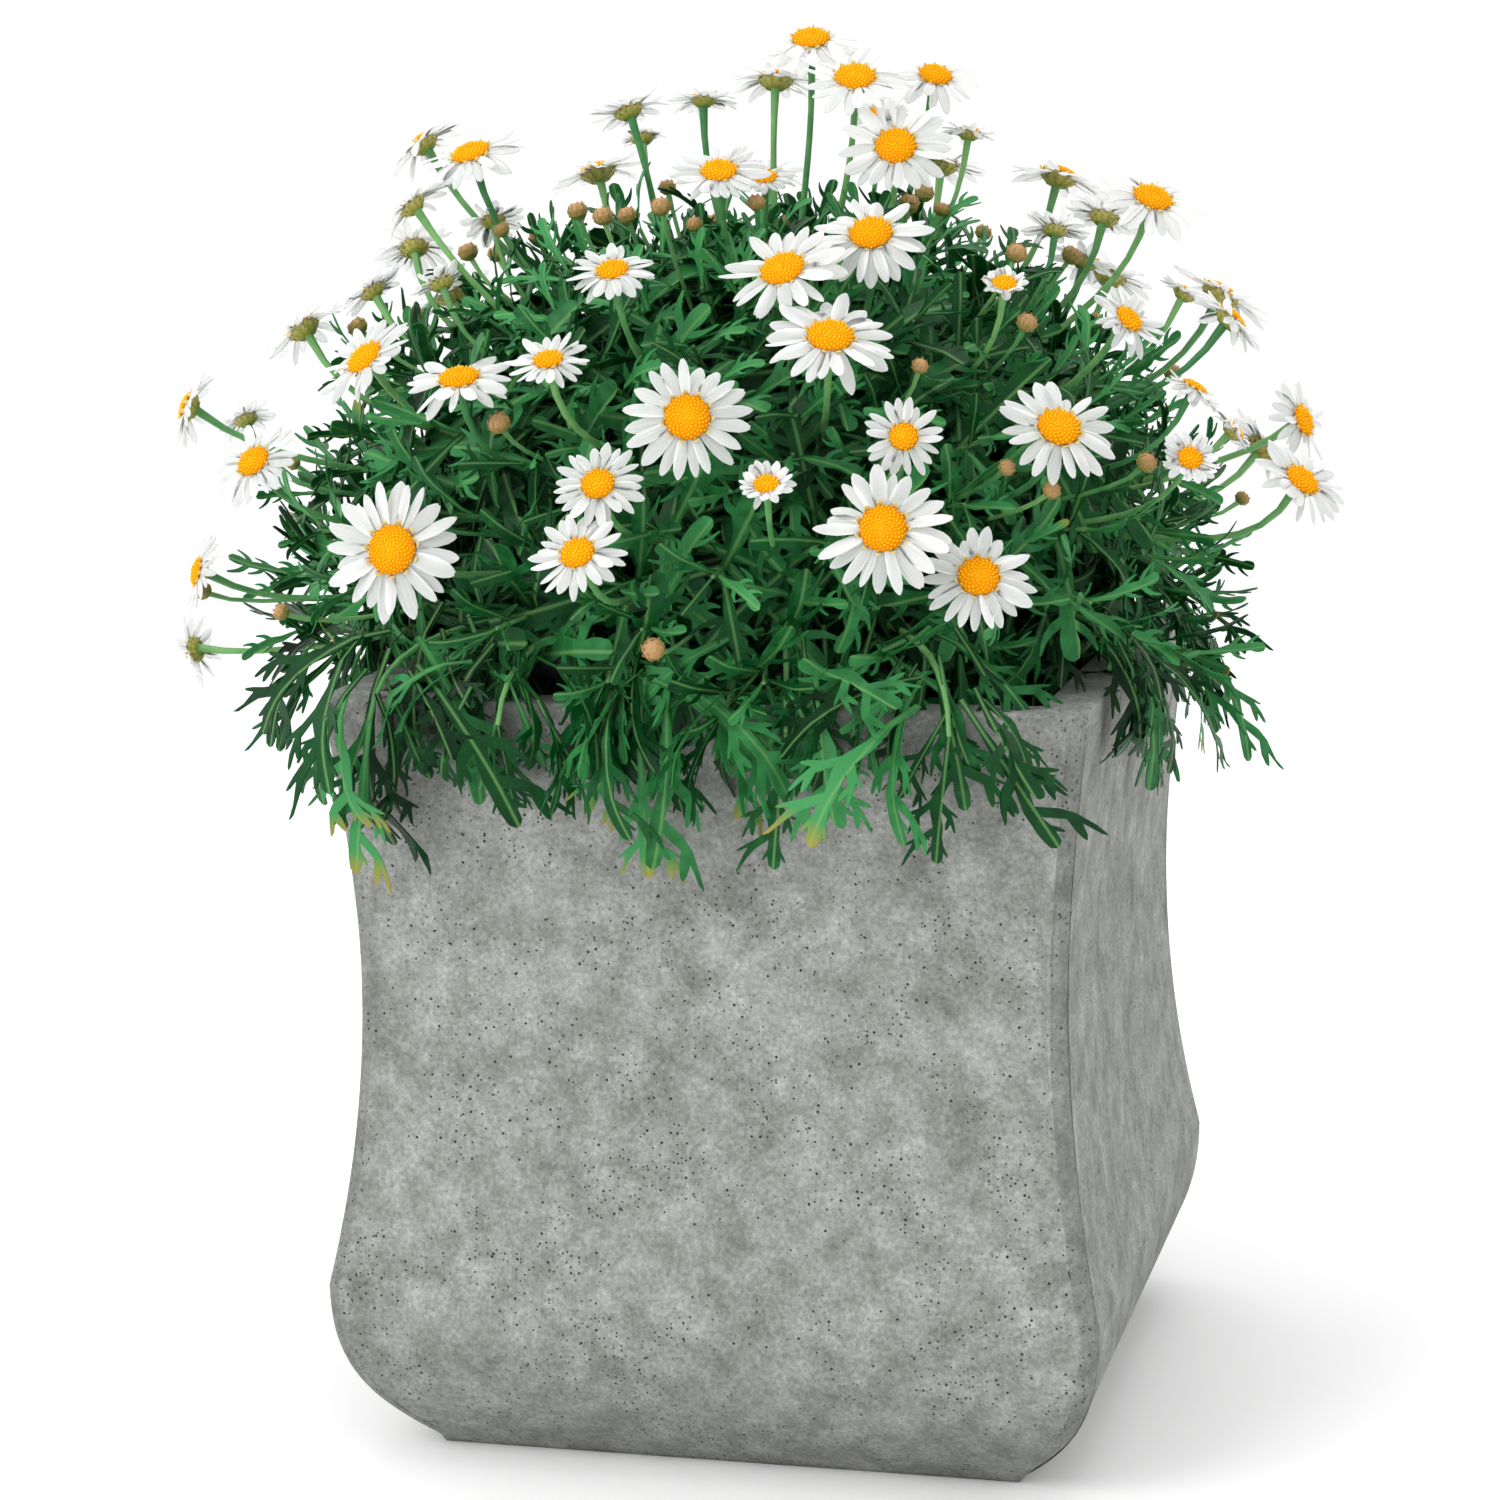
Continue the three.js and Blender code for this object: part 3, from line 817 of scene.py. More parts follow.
@dataclass
class ConcretePlanter:
    """Square shell whose walls swell to a low bulge, draw in to a waist and flare to a flat rim."""

    base_half: float = 153 * MM
    bulge_half: float = 200 * MM
    waist_half: float = 182.5 * MM
    top_half: float = 194.5 * MM
    bulge_height: float = 95 * MM
    waist_height: float = 257 * MM
    height: float = 403 * MM
    edge_radius: float = 9 * MM
    rim_round: float = 2.2 * MM
    wall: float = 14 * MM
    floor: float = 20 * MM
    lip_width: float = 26 * MM
    lip_depth: float = 22 * MM
    lip_taper: float = 16 * MM
    cavity_radius: float = 56 * MM
    drain_radius: float = 8 * MM
    drain_offset: float = 70 * MM
    side_cells: int = 48
    cavity_cells: int = 28
    flat_foot: float = 4 * MM
    unevenness: float = 0.45 * MM

    def outline(self) -> list[Vector]:
        """Half width and height of the wall's outside, from the base to the start of the rim's rounding."""
        base, bulge = Vector((self.base_half, 0)), Vector((self.bulge_half, self.bulge_height))
        waist, top = Vector((self.waist_half, self.waist_height)), Vector((self.top_half, self.height))
        waist_run, top_run = waist.y - bulge.y, top.y - waist.y
        leaving_base = Vector((base.x + 0.57 * (bulge.x - base.x), 0.26 * bulge.y))
        entering_bulge = Vector((bulge.x, 0.47 * bulge.y))
        leaving_bulge = Vector((bulge.x, bulge.y + 0.03 * waist_run))
        entering_waist = Vector((waist.x, waist.y - 0.57 * waist_run))
        leaving_waist = Vector((waist.x, waist.y + 0.34 * top_run))
        entering_top = Vector((top.x - 0.38 * (top.x - waist.x), top.y - 0.28 * top_run))
        belly = curve_points([base, leaving_base, entering_bulge, bulge], 26)
        drawn_in = curve_points([bulge, leaving_bulge, entering_waist, waist], 26)
        flare = curve_points([waist, leaving_waist, entering_top, top], 24)
        return belly + drawn_in[1:] + flare[1:-1]

    def half_at(self, z: float) -> float:
        """Half width of the outside of the wall at a height."""
        line = self.outline() + [Vector((self.top_half, self.height))]
        for low, high in zip(line, line[1:]):
            if high.y >= z:
                return low.x + (high.x - low.x) * (z - low.y) / (high.y - low.y)
        return self.top_half

    def skin(self, levels: list[tuple[float, float]], radius: float, steps: int) -> BMesh:
        """Stacks square rings and rounds their four corners.

        Args:
            levels: Half width and height of each ring, in order.
            radius: Radius of the rounded corners.
            steps: Segments of the rounding.

        Returns:
            The skin, open at both ends.
        """
        bm = bmesh.new()
        half, z = levels[0]
        turn = Matrix.Translation((0, 0, z)) @ Matrix.Rotation(math.pi / 4, 4, "Z")
        ring = bmesh.ops.create_circle(bm, segments=4, radius=half * math.sqrt(2), matrix=turn)["verts"]
        corners = list(ring)
        edges = list({edge for vert in ring for edge in vert.link_edges})
        cut = bmesh.ops.subdivide_edges(bm, edges=edges, cuts=self.side_cells - 1)
        edges = [item for item in cut["geom"] if isinstance(item, BMEdge)]
        uprights: list[BMEdge] = []
        for (last_half, _), (half, z) in zip(levels, levels[1:]):
            verts, edges = extrude_ring(bm, edges)
            bmesh.ops.scale(bm, vec=(half / last_half, half / last_half, 1), verts=verts)
            for vert in verts:
                vert.co.z = z
            tips = [v for v in verts if max(abs(abs(v.co.x) - half), abs(abs(v.co.y) - half)) < MERGE]
            for tip in tips:
                uprights += [edge for edge in tip.link_edges if edge.other_vert(tip) in corners]
            corners = tips
        round_off(bm, uprights, radius, steps)
        # The rounding may lift the corners of an open end out of its level.
        ends = (levels[0][1], levels[-1][1])
        for vert in bm.verts:
            if vert.is_boundary:
                vert.co.z = min(ends, key=lambda z: abs(z - vert.co.z))
        return bm

    def build(self) -> None:
        """Builds the shell with its cavity, drain holes and finish."""
        outside = [(point.x, point.y) for point in self.outline()] + [(self.top_half, self.height)]
        lip_half = self.top_half - self.lip_width
        under_lip = self.height - self.lip_depth - self.lip_taper
        step = (under_lip - self.floor) / self.cavity_cells
        heights = [under_lip - n * step for n in range(self.cavity_cells + 1)]
        inside = [(lip_half, self.height), (lip_half, self.height - self.lip_depth)]
        inside += [(self.half_at(z) - self.wall, z) for z in heights]
        bm = self.skin(outside, self.edge_radius, 6)
        cavity = new_mesh(self.skin(inside, self.cavity_radius, 14), "cavity")
        bm.from_mesh(cavity)
        bpy.data.meshes.remove(cavity)
        bmesh.ops.bridge_loops(bm, edges=open_ring(bm, self.height))
        bmesh.ops.contextual_create(bm, geom=open_ring(bm, 0))
        bmesh.ops.contextual_create(bm, geom=open_ring(bm, heights[-1]))
        bmesh.ops.remove_doubles(bm, verts=bm.verts, dist=MERGE)
        bmesh.ops.recalc_face_normals(bm, faces=bm.faces)
        rim = [e for e in bm.edges if all(abs(v.co.z - self.height) < LEVEL for v in e.verts)]
        arrises = [e for e in rim if len(e.link_faces) == 2 and e.calc_face_angle() > 1]
        round_off(bm, arrises, self.rim_round, 3)
        self.roughen(bm)
        concrete = FibreConcrete().material()
        self.drill(
            make_piece(bm, "concrete_shell", [concrete], Body.SHELL, "planter_shell", 60)
        )

    def roughen(self, bm: BMesh) -> None:
        """Gives the walls the slight unevenness of a hand-laid casting, away from the flat base.

        Args:
            bm: The shell.
        """
        bm.normal_update()
        # The arris mask marks the rounded corners, which the concrete darkens with painted shade.
        arris = bm.verts.layers.float.new("arris")
        for vert in bm.verts:
            half = self.half_at(max(0, min(vert.co.z, self.height)))
            vert[arris] = float(abs(vert.co.x) + abs(vert.co.y) > 2 * half - 0.85 * self.edge_radius)
            if vert.co.z < self.flat_foot or abs(vert.co.z - self.floor) < LEVEL:
                continue
            broad = noise.noise(vert.co * 9)
            fine = noise.noise(vert.co * 60)
            vert.co += vert.normal * self.unevenness * (0.7 * broad + 0.3 * fine - 0.5)

    def drill(self, shell: Object) -> None:
        """Cuts the drain holes through the floor.

        Args:
            shell: The shell.
        """
        bm = bmesh.new()
        for x in (-self.drain_offset, self.drain_offset):
            for y in (-self.drain_offset, self.drain_offset):
                bmesh.ops.create_cone(
                    bm, cap_ends=True, segments=24, radius1=self.drain_radius, radius2=self.drain_radius,
                    depth=3 * self.floor, matrix=Matrix.Translation((x, y, self.floor / 2)),
                )
        cutter = new_object("drill", new_mesh(bm, "drill"))
        cut = shell.modifiers.new("drains", "BOOLEAN")
        cut.object, cut.operation, cut.solver = cutter, "DIFFERENCE", "MANIFOLD"
        ready = shell.evaluated_get(bpy.context.evaluated_depsgraph_get())
        drilled = bpy.data.meshes.new_from_object(ready)
        shell.modifiers.clear()
        shell.data = drilled
        bpy.data.objects.remove(cutter)


# ---------------------------------------------------------------- drainage, pot and soil


def scatter(press: Press, shape: Stamp, spots: list[Vector], size: tuple[float, float], rng: random.Random,
            slot: int = 0) -> None:
    """Drops turned and resized copies of a stamp on a list of spots.

    Args:
        press: Mesh being gathered.
        shape: What to drop.
        spots: Where each copy goes.
        size: Least and greatest scale.
        rng: Source of chance.
        slot: Material slot of the piece.
    """
    for spot in spots:
        turn = Matrix.Rotation(rng.uniform(0, math.tau), 4, rng.choice("XYZ"))
        spin = Matrix.Rotation(rng.uniform(0, math.tau), 4, "Z")
        place = Matrix.Translation(spot) @ spin @ turn @ Matrix.Scale(rng.uniform(*size), 4)
        press.stamp(shape, place, rng.random(), slot)


def pebble(name: str, radius: float, squash: float, seed: int) -> Stamp:
    """Makes an uneven pebble.

    Args:
        name: Name of its mesh.
        radius: Mean radius.
        squash: Height over width.
        seed: Seed of its unevenness.

    Returns:
        The stamp.
    """
    bm = bmesh.new()
    bmesh.ops.create_icosphere(bm, subdivisions=2, radius=radius)
    for vert in bm.verts:
        vert.co *= 1 + 0.22 * noise.noise(vert.co / radius * 0.9 + Vector((seed, 0, 0)))
        vert.co.z *= squash
    return Stamp.from_bmesh(bm, name, radius, radius)


@dataclass
class Drainage:
    """Mesh mat on the shell's floor and the expanded-clay pebbles that the pot stands on."""

    pebble_radius: float = 7 * MM
    pebbles: int = 620
    inset: float = 13 * MM
    bed_depth: float = 9 * MM
    gap: float = 1 * MM
    seed: int = 11

    def build(self) -> None:
        """Dresses the mat and lays the pebbles."""
        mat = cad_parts["drain_mat"]
        mat.data.materials.clear()
        mat.data.materials.append(Moulded("hdpe_mesh", "#2c2f2c", "#4c4f49", 0.7).material())
        low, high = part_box("clay_pebble_layer")
        rng = random.Random(self.seed)
        press = Press()
        press.add(self.bed(low, high))
        shape = pebble("clay_pebble", self.pebble_radius, 0.85, self.seed)
        half = high.x - self.inset
        spots = [Vector((rng.uniform(-half, half), rng.uniform(-half, half), high.z - rng.uniform(6, 9) * MM))
                 for _ in range(self.pebbles)]
        scatter(press, shape, spots, (0.6, 0.95), rng)
        clay = Earthy("expanded_clay", ("#5e3524", "#8d5337", "#a96c4b"), 5, 0.5).material()
        press.piece("clay_pebbles", [clay], Body.SHELL, "baked_clay", "clay_pebble_layer")

    def bed(self, low: Vector, high: Vector) -> BMesh:
        """Fills the space under the top pebbles with one block.

        Args:
            low: Lowest corner of the layer.
            high: Highest corner of the layer.

        Returns:
            The block.
        """
        planter = ConcretePlanter()
        top = high.z - self.bed_depth
        heights = [low.z + n * (top - low.z) / 6 for n in range(7)]
        levels = [(planter.half_at(z) - planter.wall - self.gap, z) for z in heights]
        skin = planter.skin(levels, planter.cavity_radius, 8)
        for z in (heights[0], heights[-1]):
            bmesh.ops.contextual_create(skin, geom=open_ring(skin, z))
        bmesh.ops.recalc_face_normals(skin, faces=skin.faces)
        return skin


@dataclass
class NurseryPot:
    """Thin black container with a rolled rim, stiffening rings and a foot ring."""

    wall: float = 2.5 * MM
    rim_band: float = 14 * MM
    ledge: float = 5 * MM
    taper: float = 32 * MM
    ring_shares: tuple[float, ...] = (0.3, 0.6, 0.82)
    segments: int = 96

    def build(self) -> None:
        """Builds the pot from the middle of its foot, up its outside, over the rim and down its inside."""
        low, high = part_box("nursery_pot")
        rim = high.x
        body, base = rim - self.ledge, rim - self.ledge - self.taper
        inner = body - self.wall
        foot, top = low.z, high.z

        def outer(share: float) -> float:
            """Radius of the wall's outside at a share of the height."""
            return base + (body - base) * share

        profile = [(0, foot + 2 * MM), (base - 8 * MM, foot + 2 * MM), (base - 6 * MM, foot)]
        profile += [(base - 1 * MM, foot), (base, foot + 1.5 * MM)]
        for share in self.ring_shares:
            z, out = foot + share * (top - foot), outer(share) + 0.9 * MM
            profile += [(outer(share - 0.008), z - 2.2 * MM), (out, z - 0.8 * MM)]
            profile += [(out, z + 0.8 * MM), (outer(share + 0.008), z + 2.2 * MM)]
        under = top - self.rim_band
        profile += [(outer(0.95), under), (rim - 0.8 * MM, under), (rim, under + 0.8 * MM)]
        profile += [(rim, top - 1.6 * MM), (rim - 0.5 * MM, top - 0.5 * MM), (rim - 1.6 * MM, top)]
        profile += [(inner + 1.2 * MM, top), (inner, top - 1.2 * MM)]
        profile += [(base - self.wall, foot + 4 * MM), (0, foot + 4 * MM)]
        bm = bmesh.new()
        turned(bm, profile, self.segments)
        plastic = Moulded("black_polypropylene", "#101112", "#26221e", 0.38).material()
        make_piece(bm, "black_nursery_pot", [plastic], Body.INSERT, "nursery_pot", 35)


@dataclass
class SoilAndMulch:
    """Peaty potting soil with crumbs and white perlite on top, and chips of bark lying on it."""

    seed: int = 23
    crumbs: int = 420
    perlite: int = 60
    edge_gap: float = 1 * MM
    taper: float = 30 * MM
    lumps: float = 2.2 * MM

    def build(self) -> None:
        """Builds the soil and the chips."""
        low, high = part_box("potting_soil")
        rng = random.Random(self.seed)
        press = Press()
        edge = high.x - self.edge_gap
        rings = [(edge * share, high.z - 2.5 * MM) for share in (0.97, 0.85, 0.7, 0.55, 0.4, 0.25, 0.12)]
        profile = [(0, low.z), (edge - self.taper, low.z), (edge, high.z - 4 * MM)]
        profile += [*rings, (0, high.z - 2 * MM)]
        body = bmesh.new()
        turned(body, profile, 72)
        for vert in body.verts:
            if vert.co.z > high.z - 3 * MM:
                vert.co.z += self.lumps * noise.noise(vert.co * 70)
        press.add(body)
        crumb = pebble("crumb", 3 * MM, 0.8, 3)

        def spots(count: int) -> list[Vector]:
            """Random places on the soil's surface."""
            polar = [(edge * 0.96 * math.sqrt(rng.random()), rng.uniform(0, math.tau)) for _ in range(count)]
            return [Vector((r * math.cos(a), r * math.sin(a), high.z - 1.5 * MM)) for r, a in polar]

        scatter(press, crumb, spots(self.crumbs), (0.5, 1.3), rng)
        scatter(press, crumb, spots(self.perlite), (0.4, 0.7), rng, slot=1)
        soil = Earthy("peat_soil", ("#140e0a", "#2a1d14", "#46321f"), 3, 0.6).material()
        perlite = Earthy("perlite", ("#b9b7b0", "#d6d4cd", "#eceae4"), 1.5, 0.2).material()
        press.piece("peat_soil", [soil, perlite], Body.INSERT, "soil", "potting_soil")
        bark = Earthy("pine_bark", ("#4a2417", "#8a5036", "#c08a69"), 2.5, 0.7, (1, 0.25, 1)).material()
        for node in sorted(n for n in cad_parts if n.startswith("bark_chip")):
            self.chip(node, bark, rng)

    def chip(self, node: str, bark: Material, rng: random.Random) -> None:
        """Builds one flake of bark in the box of its CAD node.

        Args:
            node: CAD node that it is shown in place of.
            bark: Its material.
            rng: Source of chance.
        """
        low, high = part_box(node)
        middle, size = (low + high) / 2, high - low
        bm = bmesh.new()
        place = Matrix.Translation(middle) @ Matrix.Diagonal((*size * 0.92, 1))
        bmesh.ops.create_cube(bm, size=1, matrix=place)
        bmesh.ops.subdivide_edges(bm, edges=bm.edges, cuts=5, use_grid_fill=True)
        shift = Vector((rng.uniform(0, 9), 0, 0))
        for vert in bm.verts:
            outward = vert.co - middle
            pinch = 1 - 0.9 * (outward.x / size.x) ** 2 - 0.7 * (outward.y / size.y) ** 2
            vert.co = middle + Vector((outward.x, outward.y, outward.z * pinch))
            rough = noise.noise(vert.co * 90 + shift)
            vert.co += Vector((rough * 2.2, noise.noise(vert.co * 110 + shift) * 2.2, 0.8 * rough)) * MM
        bmesh.ops.recalc_face_normals(bm, faces=bm.faces)
        make_piece(bm, "pine_" + node, [bark], Body.INSERT, node, 30)


# ---------------------------------------------------------------- bush


@dataclass(frozen=True)
class LobedLeaf:
    """Marguerite leaf: a strap that widens towards its end and parts into a few blunt lobes."""

    length: float
    width: float
    lobe: float
    toothed: bool
    seed: int
    pairs: int = 2
    thickness: float = 0.7 * MM
    fold: float = 0.2

    def stamp(self) -> Stamp:
        """Builds the leaf flat along +Y, then folds it a little along its rib.

        Returns:
            The leaf's stamp.
        """
        rng = random.Random(self.seed)
        bm = bmesh.new()
        stalk = 0.22 * self.length
        size = Matrix.Diagonal((0.36 * self.width, stalk, self.thickness, 1))
        bmesh.ops.create_cube(bm, size=1, matrix=Matrix.Translation((0, stalk / 2, 0)) @ size)
        front = max(bm.faces, key=lambda face: face.calc_center_median().y)
        front = grow(bm, front, Vector((0, 0.15 * self.length, 0)), 1.8)
        bay = 0.42 * self.length / self.pairs
        for pair in range(self.pairs):
            drift = Vector((rng.uniform(-0.05, 0.05) * self.length, 0, 0))
            front = grow(bm, front, Vector((0, 0.66 * bay, 0)) + drift, 1.2 if pair == 0 else 0.92)
            front = grow(bm, front, Vector((0, 0.34 * bay, 0)), 0.98)
            share = 1.0 if pair else 0.75
            for side in self.walls(front):
                if rng.random() < 0.9:
                    angle = math.copysign(math.radians(rng.uniform(34, 62)), side.normal.x)
                    self.grow_lobe(bm, side, angle, self.lobe * share * rng.uniform(0.7, 1.15), 1.05, rng)
        self.grow_lobe(bm, front, math.radians(rng.uniform(-14, 14)), 0.21 * self.length, 1.3, rng)
        cut_across(bm, (0, 0, 0), (1, 0, 0))
        for vert in bm.verts:
            wave = 0.06 * self.width * math.sin(vert.co.y / (0.09 * self.length))
            vert.co.z += self.fold * abs(vert.co.x) + wave
        bmesh.ops.recalc_face_normals(bm, faces=bm.faces)
        return Stamp.from_bmesh(bm, "leaf", self.length, self.width)

    def walls(self, end: BMFace) -> list[BMFace]:
        """Upright faces to the left and right of the stretch of blade that ends in a face."""
        around = [face for edge in end.edges for face in edge.link_faces if face is not end]
        for face in around:
            face.normal_update()
        return [face for face in around if abs(face.normal.z) < 0.5]

    def grow_lobe(self, bm: BMesh, foot: BMFace, angle: float, length: float, flare: float,
                  rng: random.Random) -> None:
        """Grows one lobe, with a tooth or two on the large leaves.

        Args:
            bm: Leaf being built.
            foot: Face that it grows from.
            angle: Its turn from the rib, in radians.
            length: Its length.
            flare: Its width halfway over the width of its foot.
            rng: Source of chance.
        """
        ahead = Vector((math.sin(angle), math.cos(angle), 0))
        later = Vector((math.sin(0.5 * angle), math.cos(0.5 * angle), 0))
        middle = grow(bm, foot, ahead * 0.34 * length, flare)
        end = grow(bm, middle, (ahead + later) * 0.12 * length, 1.0)
        if self.toothed:
            for wall in self.walls(end):
                if rng.random() < 0.75:
                    tooth = (wall.normal + later * rng.uniform(0.9, 1.8)).normalized()
                    grow(bm, grow(bm, wall, tooth * 0.2 * length, 0.75), tooth * 0.12 * length, 0.3)
        end = grow(bm, end, later * 0.32 * length, 0.82)
        grow(bm, end, later * 0.13 * length, 0.3)


@dataclass(frozen=True)
class Shoot:
    """Direction of a shoot from the crown, and the number of the CAD shoot that it belongs to."""

    direction: Vector
    number: int


@dataclass(frozen=True)
class ShootRow:
    """Row of CAD shoots: how many, their rise and the turn of the first, in degrees."""

    count: int
    rise: float
    turn: float


SHOOT_ROWS = (ShootRow(10, 20, 0), ShootRow(6, 54, 18), ShootRow(1, 90, 0))
CAD_SHOOTS = [
    Shoot(heading(row.turn + 360 * n / row.count, row.rise), sum(r.count for r in SHOOT_ROWS[:i]) + n + 1)
    for i, row in enumerate(SHOOT_ROWS)
    for n in range(row.count)
]
CROWN_RADIUS = 44 * MM
CROWN = Vector((0, 0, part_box("woody_crown")[1].z - CROWN_RADIUS))


def nearest_shoot(direction: Vector) -> int:
    """Number of the CAD shoot that points most nearly the same way."""
    return max(CAD_SHOOTS, key=lambda shoot: shoot.direction.dot(direction.normalized())).number


def tapered(thickest: float, step: float, count: int) -> list[float]:
    """Radii of a stem that thins by the same step from point to point."""
    return [thickest - n * step for n in range(count)]


@dataclass
class Foliage:
    """Mound of leafy shoots that spread from the crown, and the knotty crown itself."""

    leaf: Material
    stem: Material
    left: float = 300 * MM
    right: float = 252 * MM
    depth: float = 250 * MM
    top: float = 210 * MM
    lowest: float = -11
    shoots: int = 215
    leaves: int = 12
    young_leaves: int = 4
    small_patterns: int = 3
    large_patterns: int = 5
    old_stems: int = 11
    seed: int = 5

    def surface(self, direction: Vector) -> float:
        """Distance from the crown to the mound's surface in a direction."""
        across = self.left if direction.x < 0 else self.right
        x, y, z = direction.x / across, direction.y / self.depth, direction.z / self.top
        return 1 / math.sqrt(x**2 + y**2 + z**2)

    def patterns(self) -> list[Stamp]:
        """Small and large leaves to pick from."""
        small = [LobedLeaf(54 * MM, 8.6 * MM, 13 * MM, False, 100 + n) for n in range(self.small_patterns)]
        large = [LobedLeaf(74 * MM, 11.5 * MM, 20 * MM, False, 200 + n) for n in range(self.large_patterns)]
        return [leaf.stamp() for leaf in small + large]

    def build(self) -> None:
        """Grows all the shoots, one piece for each CAD shoot, then the crown."""
        rng = random.Random(self.seed)
        patterns = self.patterns()
        presses = {shoot.number: Press() for shoot in CAD_SHOOTS}
        low = math.sin(math.radians(self.lowest))
        for n in range(self.shoots):
            share = (n + 0.5) / self.shoots
            rise = math.degrees(math.asin(low + (1 - low) * share))
            direction = heading(math.degrees(n * GOLDEN) + rng.uniform(-5, 5), rise + rng.uniform(-3, 3))
            self.shoot(presses[nearest_shoot(direction)], direction, patterns, rng)
        for number, press in presses.items():
            node = f"leafy_shoot_{number:02d}"
            press.piece(f"leaves_{number:02d}", [self.leaf, self.stem], Body.INSERT, "leaf", node)
        self.crown(rng)

    def shoot(self, press: Press, direction: Vector, patterns: list[Stamp], rng: random.Random) -> None:
        """Grows one shoot: a stem with leaves that spiral round it.

        Args:
            press: Mesh being gathered.
            direction: Direction of its tip from the crown.
            patterns: Leaves to pick from, small ones first.
            rng: Source of chance.
        """
        reach = self.surface(direction) * rng.uniform(0.8, 0.93)
        tip = CROWN + direction * reach
        lift = UP * 0.12 * reach
        early = CROWN + direction * 0.45 * reach + lift * 0.5
        late = CROWN + direction * 0.8 * reach + lift * 0.3
        path = curve_points([CROWN + direction * 0.8 * CROWN_RADIUS, early, late, tip], 9)
        press.tube(path, tapered(2.3 * MM, 0.16 * MM, 9), 6, rng.uniform(0.3, 0.7), Leafy.STEM)
        axis = (path[-1] - path[-3]).normalized()
        around = axis.orthogonal().normalized()
        droop = UP * -0.4 * max(0.0, 1 - direction.z * 1.6)
        for n in range(self.leaves):
            age = n / (self.leaves - 1)
            base = tip - axis * (4 + 78 * age) * MM
            ring = Matrix.Rotation(n * GOLDEN + rng.uniform(-0.3, 0.3), 3, axis) @ around
            open_angle = math.radians(14 + 66 * min(1, age * 1.7) + rng.uniform(-9, 9))
            forward = (axis * math.cos(open_angle) + ring * math.sin(open_angle) + droop * age).normalized()
            inward = axis * math.sin(open_angle) - ring * math.cos(open_angle)
            young = n < self.young_leaves
            if young:
                shape = patterns[rng.randrange(self.small_patterns)]
            else:
                shape = patterns[self.small_patterns + rng.randrange(self.large_patterns)]
            size = (0.68 + 0.08 * n if young else 1.0) * rng.uniform(0.8, 1.12)
            tone = min(0.88, 0.66 - 0.45 * age + rng.uniform(-0.35, 0.35))
            if direction.z < 0.2 and rng.random() < 0.04:
                tone = 1.0
            roll = Matrix.Rotation(rng.uniform(-0.9, 0.9), 4, "Y")
            place = aimed(base, forward, inward) @ roll @ Matrix.Scale(size, 4)
            press.stamp(shape, place, tone, Leafy.BLADE, bend=rng.uniform(0.1, 1.2))

    def crown(self, rng: random.Random) -> None:
        """Builds the crown of old stems that stand in the soil.

        Args:
            rng: Source of chance.
        """
        soil_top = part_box("potting_soil")[1].z
        press = Press()
        for n in range(self.old_stems):
            side = heading(n * math.degrees(GOLDEN), 0) * (6 + 20 * (n / self.old_stems)) * MM
            foot = Vector((side.x * 0.6, side.y * 0.6, soil_top - 3 * MM))
            end = CROWN + side * 1.25 + UP * rng.uniform(0, 22) * MM
            handles = [foot, foot + UP * 9 * MM, end - UP * 12 * MM - side * 0.2, end]
            press.tube(curve_points(handles, 7), tapered(7.5 * MM, 0.6 * MM, 7), 9, rng.random())
        wood = Earthy("woody_stem", ("#3a3a22", "#5d5a34", "#857a4e"), 3, 0.8, (1, 1, 0.3)).material()
        press.piece("old_stems", [wood], Body.INSERT, "green_wood", "woody_crown")


@dataclass(frozen=True)
class Overhang:
    """Leafy spray that arches over the rim: its wall, place along it and how far it hangs, in millimetres."""

    side: Side
    along: float
    drop: float


OVERHANGS = (
    Overhang(Side.FRONT, -155, 85), Overhang(Side.FRONT, -90, 62), Overhang(Side.FRONT, -20, 92),
    Overhang(Side.FRONT, 52, 80), Overhang(Side.FRONT, 130, 74), Overhang(Side.RIGHT, -105, 46),
    Overhang(Side.RIGHT, 60, 58), Overhang(Side.BACK, -110, 66), Overhang(Side.BACK, 0, 84),
    Overhang(Side.BACK, 115, 54), Overhang(Side.LEFT, -70, 60), Overhang(Side.LEFT, 80, 72),
)


